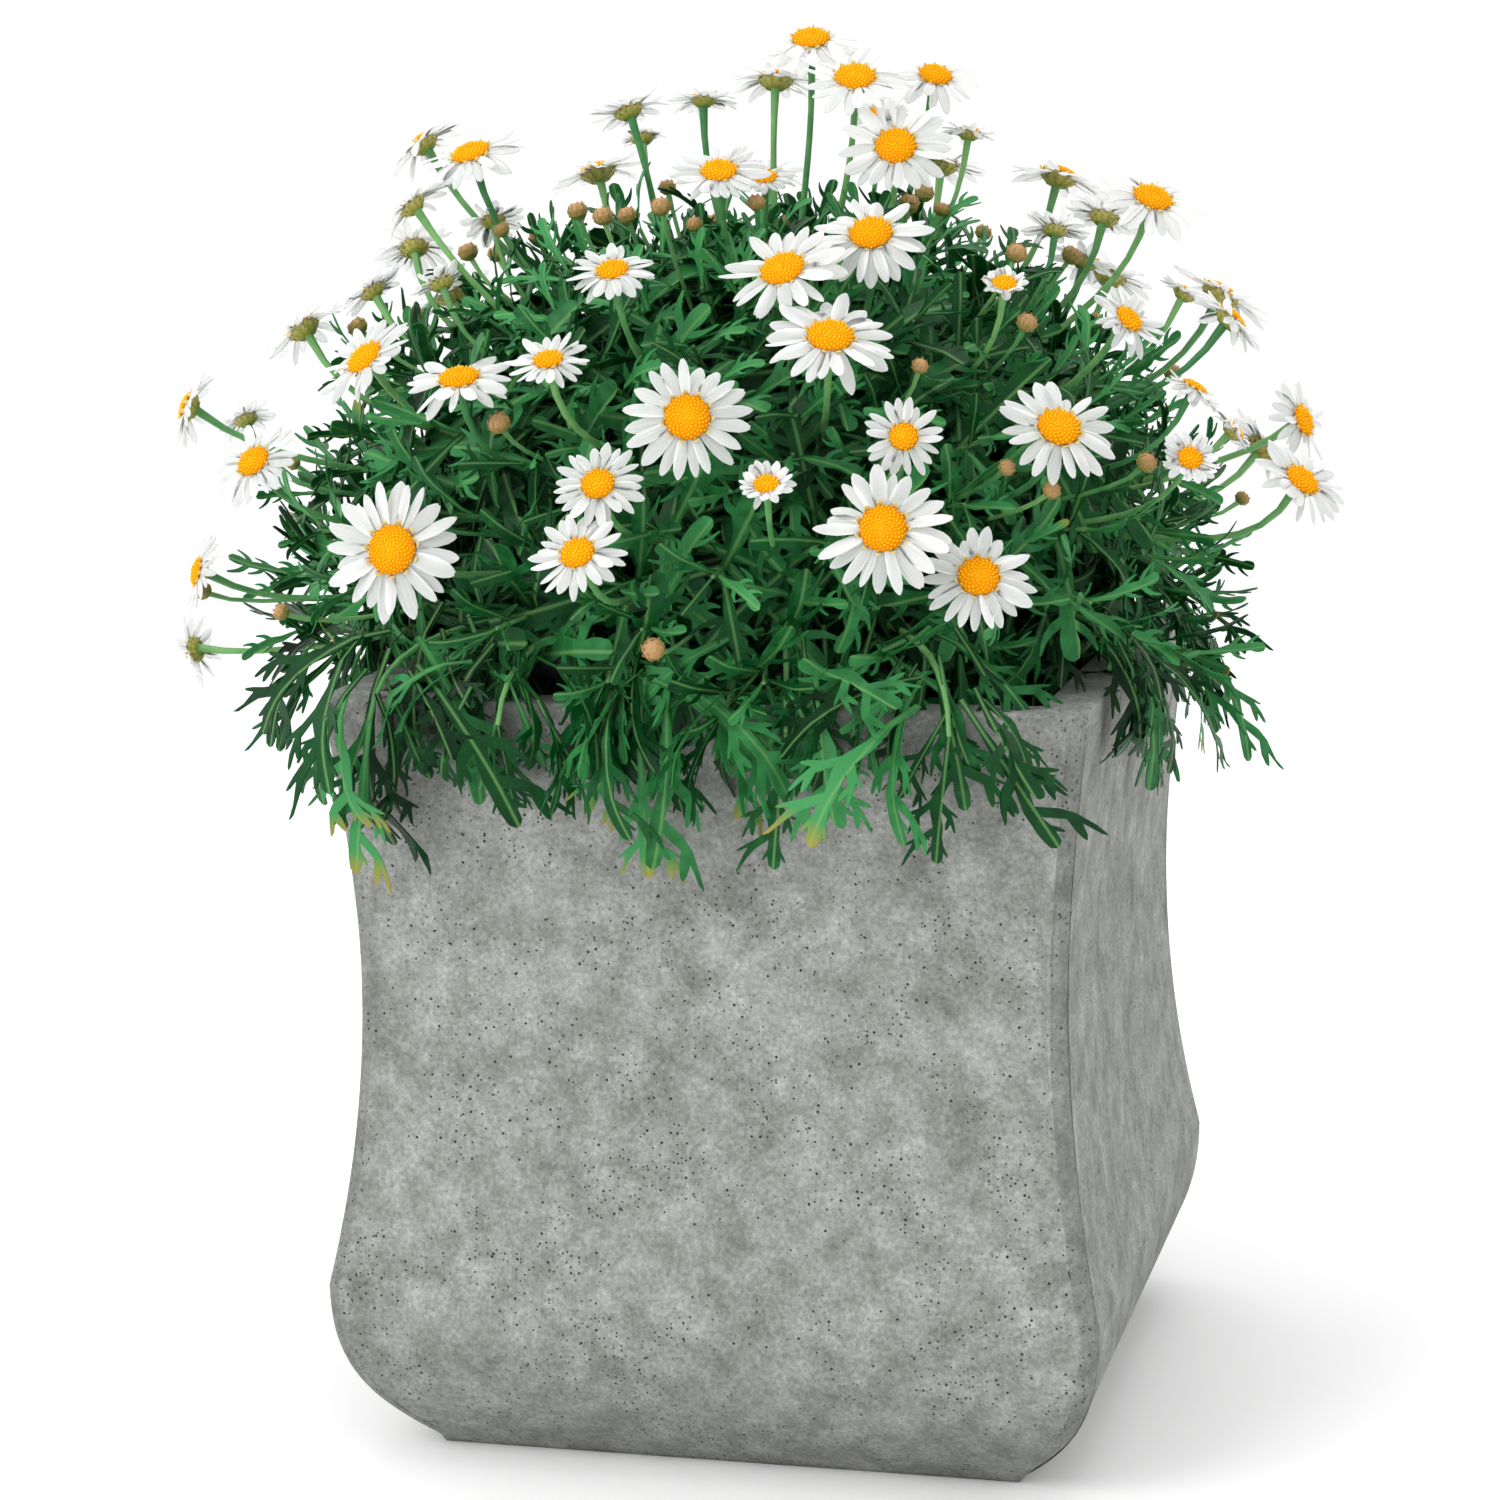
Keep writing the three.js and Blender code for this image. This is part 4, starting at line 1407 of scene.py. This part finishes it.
@dataclass
class HangingLeaves:
    """Large leaves that lie over the rim and hang in front of the walls."""

    leaf: Material
    stem: Material
    clearance: float = 22 * MM
    arch_over_pot: float = 16 * MM
    leaves: int = 16
    # Length, width and lobe length of each pattern, in millimetres.
    patterns: tuple[tuple[float, ...], ...] = ((84, 8.5, 30), (96, 9.5, 36), (90, 10, 30), (74, 8, 26))
    # Length over the room below the arch, and sideways lean, of each leaf that hangs to the lowest point.
    longest: tuple[tuple[float, float], ...] = ((1.0, 0.0), (0.85, -0.4), (0.78, 0.45))
    seed: int = 41

    def build(self) -> None:
        """Builds one piece for each spray."""
        rng = random.Random(self.seed)
        stamps = []
        for n, (length, width, lobe) in enumerate(self.patterns):
            stamps.append(LobedLeaf(length * MM, width * MM, lobe * MM, True, 300 + n, fold=0.12).stamp())
        for number, spray in enumerate(OVERHANGS, 1):
            press = Press()
            self.spray(press, spray, stamps, rng)
            node = f"hanging_leaf_{number:02d}"
            press.piece(f"overhang_{number:02d}", [self.leaf, self.stem], Body.INSERT, "leaf", node)

    def spray(self, press: Press, spray: Overhang, stamps: list[Stamp], rng: random.Random) -> None:
        """Hangs a stem with its leaves over one wall.

        Args:
            press: Mesh being gathered.
            spray: Where it hangs.
            stamps: Leaves to pick from.
            rng: Source of chance.
        """
        planter = ConcretePlanter()
        half, rim = planter.top_half, planter.height
        turn = Matrix.Rotation(math.radians(spray.side.value), 3, "Z")
        x = spray.along * MM
        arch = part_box("nursery_pot")[1].z + self.arch_over_pot

        def at(across: float, out: float, z: float) -> Vector:
            """Point at a place along the wall, a distance out from the middle and a height."""
            return turn @ Vector((across, -out, z))

        start, early = at(0.4 * x, 0.5 * half, arch + 6 * MM), at(0.8 * x, 0.85 * half, arch + 8 * MM)
        late = at(x, half + 0.5 * self.clearance, arch + 6 * MM)
        path = curve_points([start, early, late, at(1.02 * x, half + self.clearance, rim - 8 * MM)], 11)
        press.tube(path, tapered(2.2 * MM, 0.1 * MM, 11), 7, rng.uniform(0.4, 0.8), Leafy.STEM)
        sideways, outward = turn @ Vector((1, 0, 0)), turn @ Vector((0, -1, 0))
        room = path[-1].z - (rim - spray.drop * MM)
        for number, (share, lean) in enumerate(self.longest, 1):
            forward = UP * -1 + sideways * (lean + rng.uniform(-0.25, 0.25)) + outward * 0.05
            size = Matrix.Scale(max(0.55, share * room / (96 * MM)), 4)
            place = aimed(path[-number], forward, outward) @ size
            shape = stamps[rng.randrange(len(stamps))]
            press.stamp(shape, place, rng.choice((0.25, 0.4, 0.6, 1.0)), Leafy.BLADE, bend=0.12)
        for n in range(self.leaves):
            step = 4 + (n * 6) // self.leaves
            side = 1 if n % 2 else -1
            base = path[step] + sideways * side * rng.uniform(0, 20) * MM + UP * rng.uniform(-3, 12) * MM
            lean = side * rng.uniform(0.1, 1.1)
            forward = outward * rng.uniform(0.3, 0.8) + sideways * lean + UP * rng.uniform(-0.95, 0.05)
            tone = 1.0 if rng.random() < 0.06 else rng.uniform(0.0, 0.8)
            size = rng.uniform(0.7, 1.1) * (0.45 + spray.drop / 150)
            roll = Matrix.Rotation(rng.uniform(-0.6, 0.6), 4, "Y")
            place = aimed(base, forward, UP + outward * 0.3) @ roll @ Matrix.Scale(size, 4)
            shape = stamps[rng.randrange(len(stamps))]
            press.stamp(shape, place, tone, Leafy.BLADE, bend=rng.uniform(0.8, 1.7))


# ---------------------------------------------------------------- daisies


class Petals:
    """Stamps that every daisy is put together from."""

    BUD_SQUASH = 0.86

    def __init__(self) -> None:
        """Makes the ray, floret, bract and bud stamps."""
        self.rays = [self.ray(n) for n in range(4)]
        self.floret = self.cone("floret", 0.62 * MM, 0.3 * MM, 1.3 * MM, 5)
        self.bract = self.scale_leaf()
        self.bud = self.closed_bud()

    def ray(self, seed: int) -> Stamp:
        """Makes a ray 1 unit long: narrow at its foot, widest past its middle, with a narrow, uneven tip."""
        rng = random.Random(seed)
        bm = bmesh.new()
        size = Matrix.Diagonal((0.37, 1, 0.02, 1))
        bmesh.ops.create_cube(bm, size=1, matrix=Matrix.Translation((0, 0.5, 0)) @ size)
        widths = {0.0: 0.4, 0.25: 0.8, 0.55: 1.0, 0.8: 0.84, 0.93: 0.52, 1.0: 0.18}
        for y in list(widths)[1:-1]:
            cut_across(bm, (0, y, 0), (0, 1, 0))
        cut_across(bm, (0, 0, 0), (1, 0, 0))
        notch = rng.uniform(-0.035, 0.02)
        for vert in bm.verts:
            width = min(widths.items(), key=lambda item: abs(item[0] - vert.co.y))[1]
            if abs(vert.co.x) < 1e-4 and vert.co.y > 0.97:
                vert.co.y += notch
            if abs(vert.co.x) > 1e-4:
                vert.co.z -= 0.022 * width
            vert.co.x *= width * rng.uniform(0.98, 1.02)
        bmesh.ops.recalc_face_normals(bm, faces=bm.faces)
        return Stamp.from_bmesh(bm, "ray", 1.0, 0.18)

    def cone(self, name: str, foot: float, tip: float, height: float, sides: int) -> Stamp:
        """Makes a blunt cone along +Z whose along value rises from its foot to its tip."""
        bm = bmesh.new()
        bmesh.ops.create_cone(bm, cap_ends=True, segments=sides, radius1=foot, radius2=tip, depth=height)
        stamp = Stamp.from_bmesh(bm, name, 1.0, foot)
        stamp.along = [0.0 if vert.co.z < 0 else 1.0 for vert in stamp.mesh.vertices]
        return stamp

    def scale_leaf(self) -> Stamp:
        """Makes one bract of the cup under a flower, along +Y."""
        bm = bmesh.new()
        size = Matrix.Diagonal((3.4 * MM, 4 * MM, 0.6 * MM, 1))
        bmesh.ops.create_cube(bm, size=1, matrix=Matrix.Translation((0, 2 * MM, 0)) @ size)
        front = max(bm.faces, key=lambda face: face.calc_center_median().y)
        front = grow(bm, front, Vector((0, 2.2 * MM, -0.2 * MM)), 0.75)
        grow(bm, front, Vector((0, 1.2 * MM, -0.3 * MM)), 0.25)
        bmesh.ops.recalc_face_normals(bm, faces=bm.faces)
        return Stamp.from_bmesh(bm, "bract", 7.4 * MM, 1.7 * MM)

    def closed_bud(self) -> Stamp:
        """Makes a round bud along +Z, a little flattened, with a faint spiral of bracts."""
        bm = bmesh.new()
        bmesh.ops.create_uvsphere(bm, u_segments=12, v_segments=8, radius=1)
        for vert in bm.verts:
            angle = math.atan2(vert.co.y, vert.co.x)
            vert.co *= 1 + 0.045 * math.sin(6 * angle + 4 * vert.co.z)
            vert.co.z *= self.BUD_SQUASH
        stamp = Stamp.from_bmesh(bm, "bud", 1.0, 1.0)
        stamp.along = [0.5 + 0.5 * vert.co.z / self.BUD_SQUASH for vert in stamp.mesh.vertices]
        return stamp


@dataclass(frozen=True)
class Daisy:
    """Flower: place from the crown in millimetres, bearing and rise of its face, width and how open it is."""

    place: tuple[float, float, float]
    face: tuple[float, float]
    width: float
    openness: float = 1.0

    def spot(self) -> Vector:
        """Place of its eye in the part's frame."""
        return CROWN + Vector(self.place) * MM

    def build(self, press: Press, petals: Petals, rng: random.Random) -> None:
        """Adds the head and its stalk.

        Args:
            press: Mesh being gathered.
            petals: Stamps to build from.
            rng: Source of chance.
        """
        facing = heading(*self.face)
        head = Matrix.Translation(self.spot()) @ turn_from(UP, facing)
        width = self.width * MM
        eye = max(0.19 * width, 6.5 * MM)
        self.rays(press, petals, head, width, eye, rng)
        self.eye(press, petals, head, eye, rng)
        self.cup(press, petals, head, eye, rng)
        self.stalk(press, facing, eye, rng)

    def rays(self, press: Press, petals: Petals, head: Matrix, width: float, eye: float,
             rng: random.Random) -> None:
        """Sets the white rays round the eye.

        Args:
            press: Mesh being gathered.
            petals: Stamps to build from.
            head: Frame of the flower's head.
            width: Width of the flower.
            eye: Radius of its eye.
            rng: Source of chance.
        """
        count = rng.randrange(18, 24)
        length = 1.1 * (width / 2 - 0.72 * eye)
        droop = rng.uniform(-10, 6)
        for n in range(count):
            turn = Matrix.Rotation(math.tau * (n + rng.uniform(-0.22, 0.22)) / count, 4, "Z")
            lift = droop * self.openness + 48 * (1 - self.openness)
            lift += rng.uniform(-12, 12) + (3 if n % 2 else -2)
            out = Matrix.Translation((0, 0.72 * eye, -0.6 * MM - (n % 2) * 0.5 * MM))
            long = length * rng.uniform(0.86, 1.05)
            roll = Matrix.Rotation(rng.uniform(-0.5, 0.5), 4, "Y")
            size = Matrix.Diagonal((max(long, 14 * MM) * rng.uniform(0.68, 1.0), long, 24 * MM, 1))
            place = head @ turn @ out @ Matrix.Rotation(math.radians(lift), 4, "X") @ roll @ size
            press.stamp(petals.rays[n % 4], place, rng.random(), Bloom.RAY, bend=rng.uniform(-0.15, 0.55))

    def eye(self, press: Press, petals: Petals, head: Matrix, eye: float, rng: random.Random) -> None:
        """Packs the florets of the eye in a spiral over a low dome.

        Args:
            press: Mesh being gathered.
            petals: Stamps to build from.
            head: Frame of the flower's head.
            eye: Radius of its eye.
            rng: Source of chance.
        """
        rise = 0.42 * eye
        steps = (0.98, 0.85, 0.6, 0.3, 0.06)
        bed = [head @ Vector((0, 0, -0.3 * rise))]
        for step in steps:
            bed.append(head @ Vector((0, 0, rise * (math.sqrt(1 - 0.9 * step * step) - 0.3) - 0.5 * MM)))
        press.tube(bed, [0.8 * eye] + [step * eye for step in steps], 16, 0.1, Bloom.DISC)
        spacing = 1.06 * MM
        count = int((eye / spacing) ** 2 * 1.15)
        for n in range(count):
            share = math.sqrt((n + 0.5) / count)
            angle = n * GOLDEN
            z = rise * math.sqrt(max(0.0, 1 - 0.9 * share * share)) - 0.3 * rise
            spot = Vector((0.97 * eye * share * math.cos(angle), 0.97 * eye * share * math.sin(angle), z))
            lean = Vector((0.7 * spot.x, 0.7 * spot.y, 1.5 * eye)).normalized()
            place = head @ Matrix.Translation(spot) @ turn_from(UP, lean)
            size = rng.uniform(0.95, 1.25) * (1.0 if share > 0.35 else 0.85)
            tone = 0.75 - 0.35 * (share > 0.9) - 0.3 * (share < 0.3) + rng.uniform(-0.15, 0.25)
            press.stamp(petals.floret, place @ Matrix.Scale(size, 4), min(1, max(0, tone)), Bloom.DISC)

    def cup(self, press: Press, petals: Petals, head: Matrix, eye: float, rng: random.Random) -> None:
        """Builds the cup of overlapping bracts under the eye.

        Args:
            press: Mesh being gathered.
            petals: Stamps to build from.
            head: Frame of the flower's head.
            eye: Radius of its eye.
            rng: Source of chance.
        """
        depth = 0.8 * eye
        path = [head @ Vector((0, 0, z * depth)) for z in (-0.98, -0.85, -0.55, -0.25, -0.1)]
        press.tube(path, [share * eye for share in (0.16, 0.5, 0.82, 0.92, 0.8)], 14, 0.45, Bloom.CUP)
        size = Matrix.Scale(eye / (11 * MM), 4)
        bracts = 11
        for row, (radius, z, tilt) in enumerate(((0.5, -0.88, 42), (0.8, -0.6, 62))):
            for n in range(bracts):
                turn = Matrix.Rotation(math.tau * (n + 0.5 * row) / bracts, 4, "Z")
                out = Matrix.Translation((0, radius * eye, z * depth))
                place = head @ turn @ out @ Matrix.Rotation(math.radians(tilt), 4, "X")
                press.stamp(petals.bract, place @ size, rng.random(), Bloom.CUP)

    def stalk(self, press: Press, facing: Vector, eye: float, rng: random.Random) -> None:
        """Runs the stalk from inside the bush into the foot of the cup.

        Args:
            press: Mesh being gathered.
            facing: Direction that the flower faces.
            eye: Radius of its eye.
            rng: Source of chance.
        """
        spot = self.spot()
        out = (spot - CROWN).normalized()
        reach = (spot - CROWN).length
        end = spot - facing * 0.7 * eye
        wander = Vector((rng.uniform(-1, 1), rng.uniform(-1, 1), rng.uniform(-0.5, 1))) * 0.04 * reach
        start, early = CROWN + out * 0.42 * reach - UP * 8 * MM, CROWN + out * 0.66 * reach + wander
        path = curve_points([start, early, end - (facing + UP * 0.35) * 0.17 * reach, end], 12)
        thick = 1.8 * MM if self.width > 35 else 1.45 * MM
        radii = [thick * (1.1 - 0.02 * n) for n in range(10)] + [1.05 * thick, 1.4 * thick]
        press.tube(path, radii, 8, rng.uniform(0.35, 0.9), Bloom.STALK)


@dataclass
class Flowering:
    """All the daisies and buds, one piece for each CAD spray."""

    stem: Material
    front: tuple[Daisy, ...]
    buds: int = 52
    bud_bracts: int = 7
    # Count, first and last bearing, rise, reach and width of each row of daisies on the back half.
    back_rows: tuple[tuple[float, ...], ...] = (
        (5, 30, 150, 12, 285, 50),
        (5, 18, 155, 32, 280, 56),
        (4, 35, 140, 52, 268, 54),
    )
    seed: int = 77

    def back(self) -> list[Daisy]:
        """Daisies of the back half, in rows of equal rise."""
        flowers = []
        for count, start, end, rise, reach, width in self.back_rows:
            for n in range(count):
                bearing = start + (end - start) * n / (count - 1)
                place = heading(bearing, rise) * (reach + 6 * (n % 2))
                flowers.append(Daisy(tuple(place), (bearing + 8, min(70, rise + 25)), width - 5 * (n % 3)))
        return flowers

    def build(self, foliage: Foliage) -> None:
        """Builds the flowers, then the buds on the same pieces.

        Args:
            foliage: Mound that the buds stand on.
        """
        rng = random.Random(self.seed)
        petals = Petals()
        presses: dict[int, Press] = {}
        for daisy in [*self.front, *self.back()]:
            press = presses.setdefault(nearest_shoot(Vector(daisy.place)), Press())
            daisy.build(press, petals, rng)
        for n in range(self.buds):
            direction = heading(n * math.degrees(GOLDEN) + 40, rng.uniform(-2, 70))
            self.bud(presses[nearest_shoot(direction)], petals, direction, foliage.surface(direction), rng)
        cup = BudSkin("cup_bract", ("#6f8a34", "#a5a146", "#c0b25c", "#cdbd80")).material()
        bud = BudSkin("bud_bract", ("#5f7d30", "#85813a", "#96773e", "#ad8656")).material()
        skins = [RayPetal().material(), DiscFloret().material(), cup, self.stem, bud]
        for number, press in presses.items():
            press.piece(f"daisies_{number:02d}", skins, Body.INSERT, "petal", f"flower_spray_{number:02d}")

    def bud(self, press: Press, petals: Petals, direction: Vector, surface: float,
            rng: random.Random) -> None:
        """Adds a closed bud on a thin stalk.

        Args:
            press: Mesh being gathered.
            petals: Stamps to build from.
            direction: Direction from the crown.
            surface: Distance to the mound's surface.
            rng: Source of chance.
        """
        radius = rng.uniform(3.9, 5.6) * MM
        spot = CROWN + direction * (surface * rng.uniform(0.97, 1.05))
        axis = (direction + UP * rng.uniform(0.2, 0.9)).normalized()
        start, early = CROWN + direction * 0.6 * surface, CROWN + direction * 0.8 * surface - UP * 4 * MM
        path = curve_points([start, early, spot - axis * 22 * MM, spot - axis * 0.7 * radius], 7)
        press.tube(path, [1.15 * MM] * 6 + [1.5 * MM], 6, rng.uniform(0.4, 0.9), Bloom.STALK)
        place = Matrix.Translation(spot) @ turn_from(UP, axis)
        tone = rng.random()
        press.stamp(petals.bud, place @ Matrix.Scale(radius, 4), tone, Bloom.BUD)
        size = Matrix.Scale(radius / (10 * MM), 4)
        for row, rise in enumerate((-62, -28, 10)):
            lift = math.radians(rise)
            height = petals.BUD_SQUASH * radius * math.sin(lift)
            out = Matrix.Translation((0, radius * math.cos(lift), height))
            lean = Matrix.Rotation(math.radians(106 + rise), 4, "X")
            for n in range(self.bud_bracts):
                turn = Matrix.Rotation(math.tau * (n + 0.5 * row) / self.bud_bracts, 4, "Z")
                shade = 0.4 * row + 0.3 * tone - 0.3
                press.stamp(petals.bract, place @ turn @ out @ lean @ size, shade, Bloom.BUD)


FRONT_DAISIES = (
    Daisy((20, 0, 285), (-80, 62), 52),
    Daisy((-5, 25, 265), (90, 70), 48),
    Daisy((50, -30, 265), (-76, 55), 56),
    Daisy((80, 30, 265), (-60, 55), 46),
    Daisy((45, 50, 245), (-80, 60), 32, 0.6),
    Daisy((75, -50, 230), (-80, 35), 56),
    Daisy((95, 45, 235), (60, 75), 28, 0.7),
    Daisy((-45, 25, 255), (100, 75), 36, 0.75),
    Daisy((-80, 0, 250), (150, 60), 40, 0.75),
    Daisy((-85, 45, 235), (120, 65), 22, 0.35),
    Daisy((-5, -100, 220), (-80, 58), 48),
    Daisy((5, -45, 215), (-80, 65), 30, 0.8),
    Daisy((-185, -30, 235), (170, 50), 44),
    Daisy((-145, -70, 230), (-110, 62), 54),
    Daisy((-170, -95, 205), (175, 45), 40),
    Daisy((-142, -45, 195), (120, 55), 34),
    Daisy((-195, -20, 180), (120, 50), 42),
    Daisy((-155, -95, 165), (140, 55), 30, 0.5),
    Daisy((-200, -75, 160), (160, 50), 36, 0.7),
    Daisy((-245, -60, 140), (165, 50), 48),
    Daisy((-180, -145, 130), (-125, 45), 54),
    Daisy((-110, -205, 125), (-90, 66), 52),
    Daisy((-60, -220, 135), (-90, 60), 38),
    Daisy((-300, -90, 100), (-170, 22), 44),
    Daisy((-285, -45, 90), (140, 55), 32),
    Daisy((-250, -125, 75), (-110, 40), 48),
    Daisy((-290, -110, 15), (-150, 15), 40),
    Daisy((-315, -60, -35), (170, -15), 38),
    Daisy((-40, -175, 175), (-90, 60), 42),
    Daisy((45, -175, 175), (-100, 50), 58),
    Daisy((80, -135, 190), (-85, 48), 56),
    Daisy((75, -205, 145), (-70, 55), 60),
    Daisy((15, -245, 110), (-78, 15), 58),
    Daisy((-25, -260, 80), (-85, 35), 42, 0.8),
    Daisy((-30, -280, 50), (-95, 40), 44, 0.8),
    Daisy((-135, -240, 45), (-95, 15), 66),
    Daisy((55, -255, 80), (-80, 55), 26, 0.35),
    Daisy((115, -230, 100), (-76, 25), 36, 0.8),
    Daisy((110, -255, 60), (-80, 20), 60),
    Daisy((150, -230, 35), (-75, 30), 52),
    Daisy((180, -180, 100), (-62, 42), 56),
    Daisy((195, 30, 200), (-50, 55), 56),
    Daisy((165, 60, 190), (70, 60), 42, 0.7),
    Daisy((145, 20, 185), (90, 60), 34, 0.6),
    Daisy((150, 90, 165), (60, 60), 40),
    Daisy((145, -130, 165), (-70, 60), 22, 0.15),
    Daisy((200, -90, 145), (-30, 40), 40),
    Daisy((210, 45, 150), (30, 55), 26, 0.6),
    Daisy((240, 0, 140), (20, 45), 46),
    Daisy((230, -70, 110), (10, 60), 30),
    Daisy((235, -125, 80), (-60, 35), 28, 0.6),
    Daisy((245, -30, 85), (10, 40), 22, 0.4),
    Daisy((275, 20, 85), (-20, 20), 44),
    Daisy((280, -35, 60), (-35, 45), 50),
)


# ---------------------------------------------------------------- studio


@dataclass
class Studio:
    """Camera, soft lights and a pale floor that curves up all round like a shallow dish."""

    camera_place: tuple[float, float, float] = (0.4734, -1.9513, 0.7084)
    yaw: float = 14.18
    pitch: float = 10.21
    roll: float = -1.05
    lens_mm: float = 90.7
    sensor_mm: float = 36
    flat_radius: float = 3.6
    curve_radius: float = 3.0
    # A hair under the shell, whose flat base would otherwise share the floor's plane.
    floor_level: float = -0.2 * MM

    def camera(self) -> None:
        """Places the camera to the right of the front, looking a little down."""
        a, p, r = (math.radians(v) for v in (self.yaw, self.pitch, self.roll))
        ahead = Vector((-math.sin(a) * math.cos(p), math.cos(a) * math.cos(p), -math.sin(p)))
        right = Vector((math.cos(a), math.sin(a), 0))
        above = right.cross(ahead)
        x = right * math.cos(r) + above * math.sin(r)
        y = above * math.cos(r) - right * math.sin(r)
        data = bpy.data.cameras.new("camera")
        data.lens, data.sensor_width = self.lens_mm, self.sensor_mm
        data.clip_start, data.clip_end = 0.01, 100
        thing = new_object("camera", data)
        turn = Matrix((x, y, -ahead)).transposed().to_4x4()
        thing.matrix_world = Matrix.Translation(self.camera_place) @ turn
        bpy.context.scene.camera = thing

    def floor(self) -> None:
        """Spins the floor's profile: flat under the planter, then rising in a wide curve."""
        bm = bmesh.new()
        profile = [(0.0, self.floor_level), (self.flat_radius * 0.5, self.floor_level)]
        for angle in (math.radians(7.5 * n) for n in range(12)):
            out = self.flat_radius + self.curve_radius * math.sin(angle)
            profile.append((out, self.floor_level + self.curve_radius * (1 - math.cos(angle))))
        turned(bm, profile, 96)
        for face in bm.faces:
            if face.normal.z < 0:
                face.normal_flip()
        mesh = new_mesh(bm, "floor")
        mesh.shade_smooth()
        mesh.materials.append(PaintedFloor().material())
        new_object("floor", mesh)

    def softbox(self, name: str, place: Vector, size: float, power: float) -> None:
        """Adds a square area light that faces the middle of the planter.

        Args:
            name: Name of the light.
            place: Where it stands.
            size: Width in metres.
            power: Power in watts.
        """
        data = bpy.data.lights.new(name, "AREA")
        data.size, data.energy = size, power
        thing = new_object(name, data)
        thing.location = place
        thing.rotation_euler = (Vector((0, 0, 0.35)) - place).to_track_quat("-Z", "Y").to_euler()

    def build(self) -> None:
        """Sets up the camera, floor, lights and sky."""
        self.camera()
        self.floor()
        self.softbox("key", Vector((-1.7, -2.3, 2.0)), 1.8, 48)
        self.softbox("fill", Vector((2.4, -1.6, 1.3)), 2.0, 3)
        self.softbox("overhead", Vector((0.0, 0.2, 2.8)), 2.0, 20)
        world = bpy.data.worlds.new("studio")
        world.use_nodes = True
        sky = world.node_tree.nodes["Background"]
        sky.inputs["Color"].default_value = linear("#ffffff")
        sky.inputs["Strength"].default_value = 1.0
        bpy.context.scene.world = world
        bpy.context.scene.view_settings.view_transform = "Standard"


# ---------------------------------------------------------------- main


def main() -> None:
    """Builds every sub-assembly in order."""
    logging.basicConfig(level=logging.INFO, format="%(message)s")
    Studio().build()
    ConcretePlanter().build()
    Drainage().build()
    NurseryPot().build()
    SoilAndMulch().build()
    leaf = Greenery("marguerite_leaf", "#011f09", "#06471b", "#378549", "#a8822a", "#6ea05c").material()
    stem = Greenery("green_stem", "#1f5a2c", "#3f7d48", "#76a866", "#8f9a58", "#6f9f5c").material()
    foliage = Foliage(leaf, stem)
    foliage.build()
    HangingLeaves(leaf, stem).build()
    Flowering(stem, FRONT_DAISIES).build(foliage)


if __name__ == "__main__":
    main()
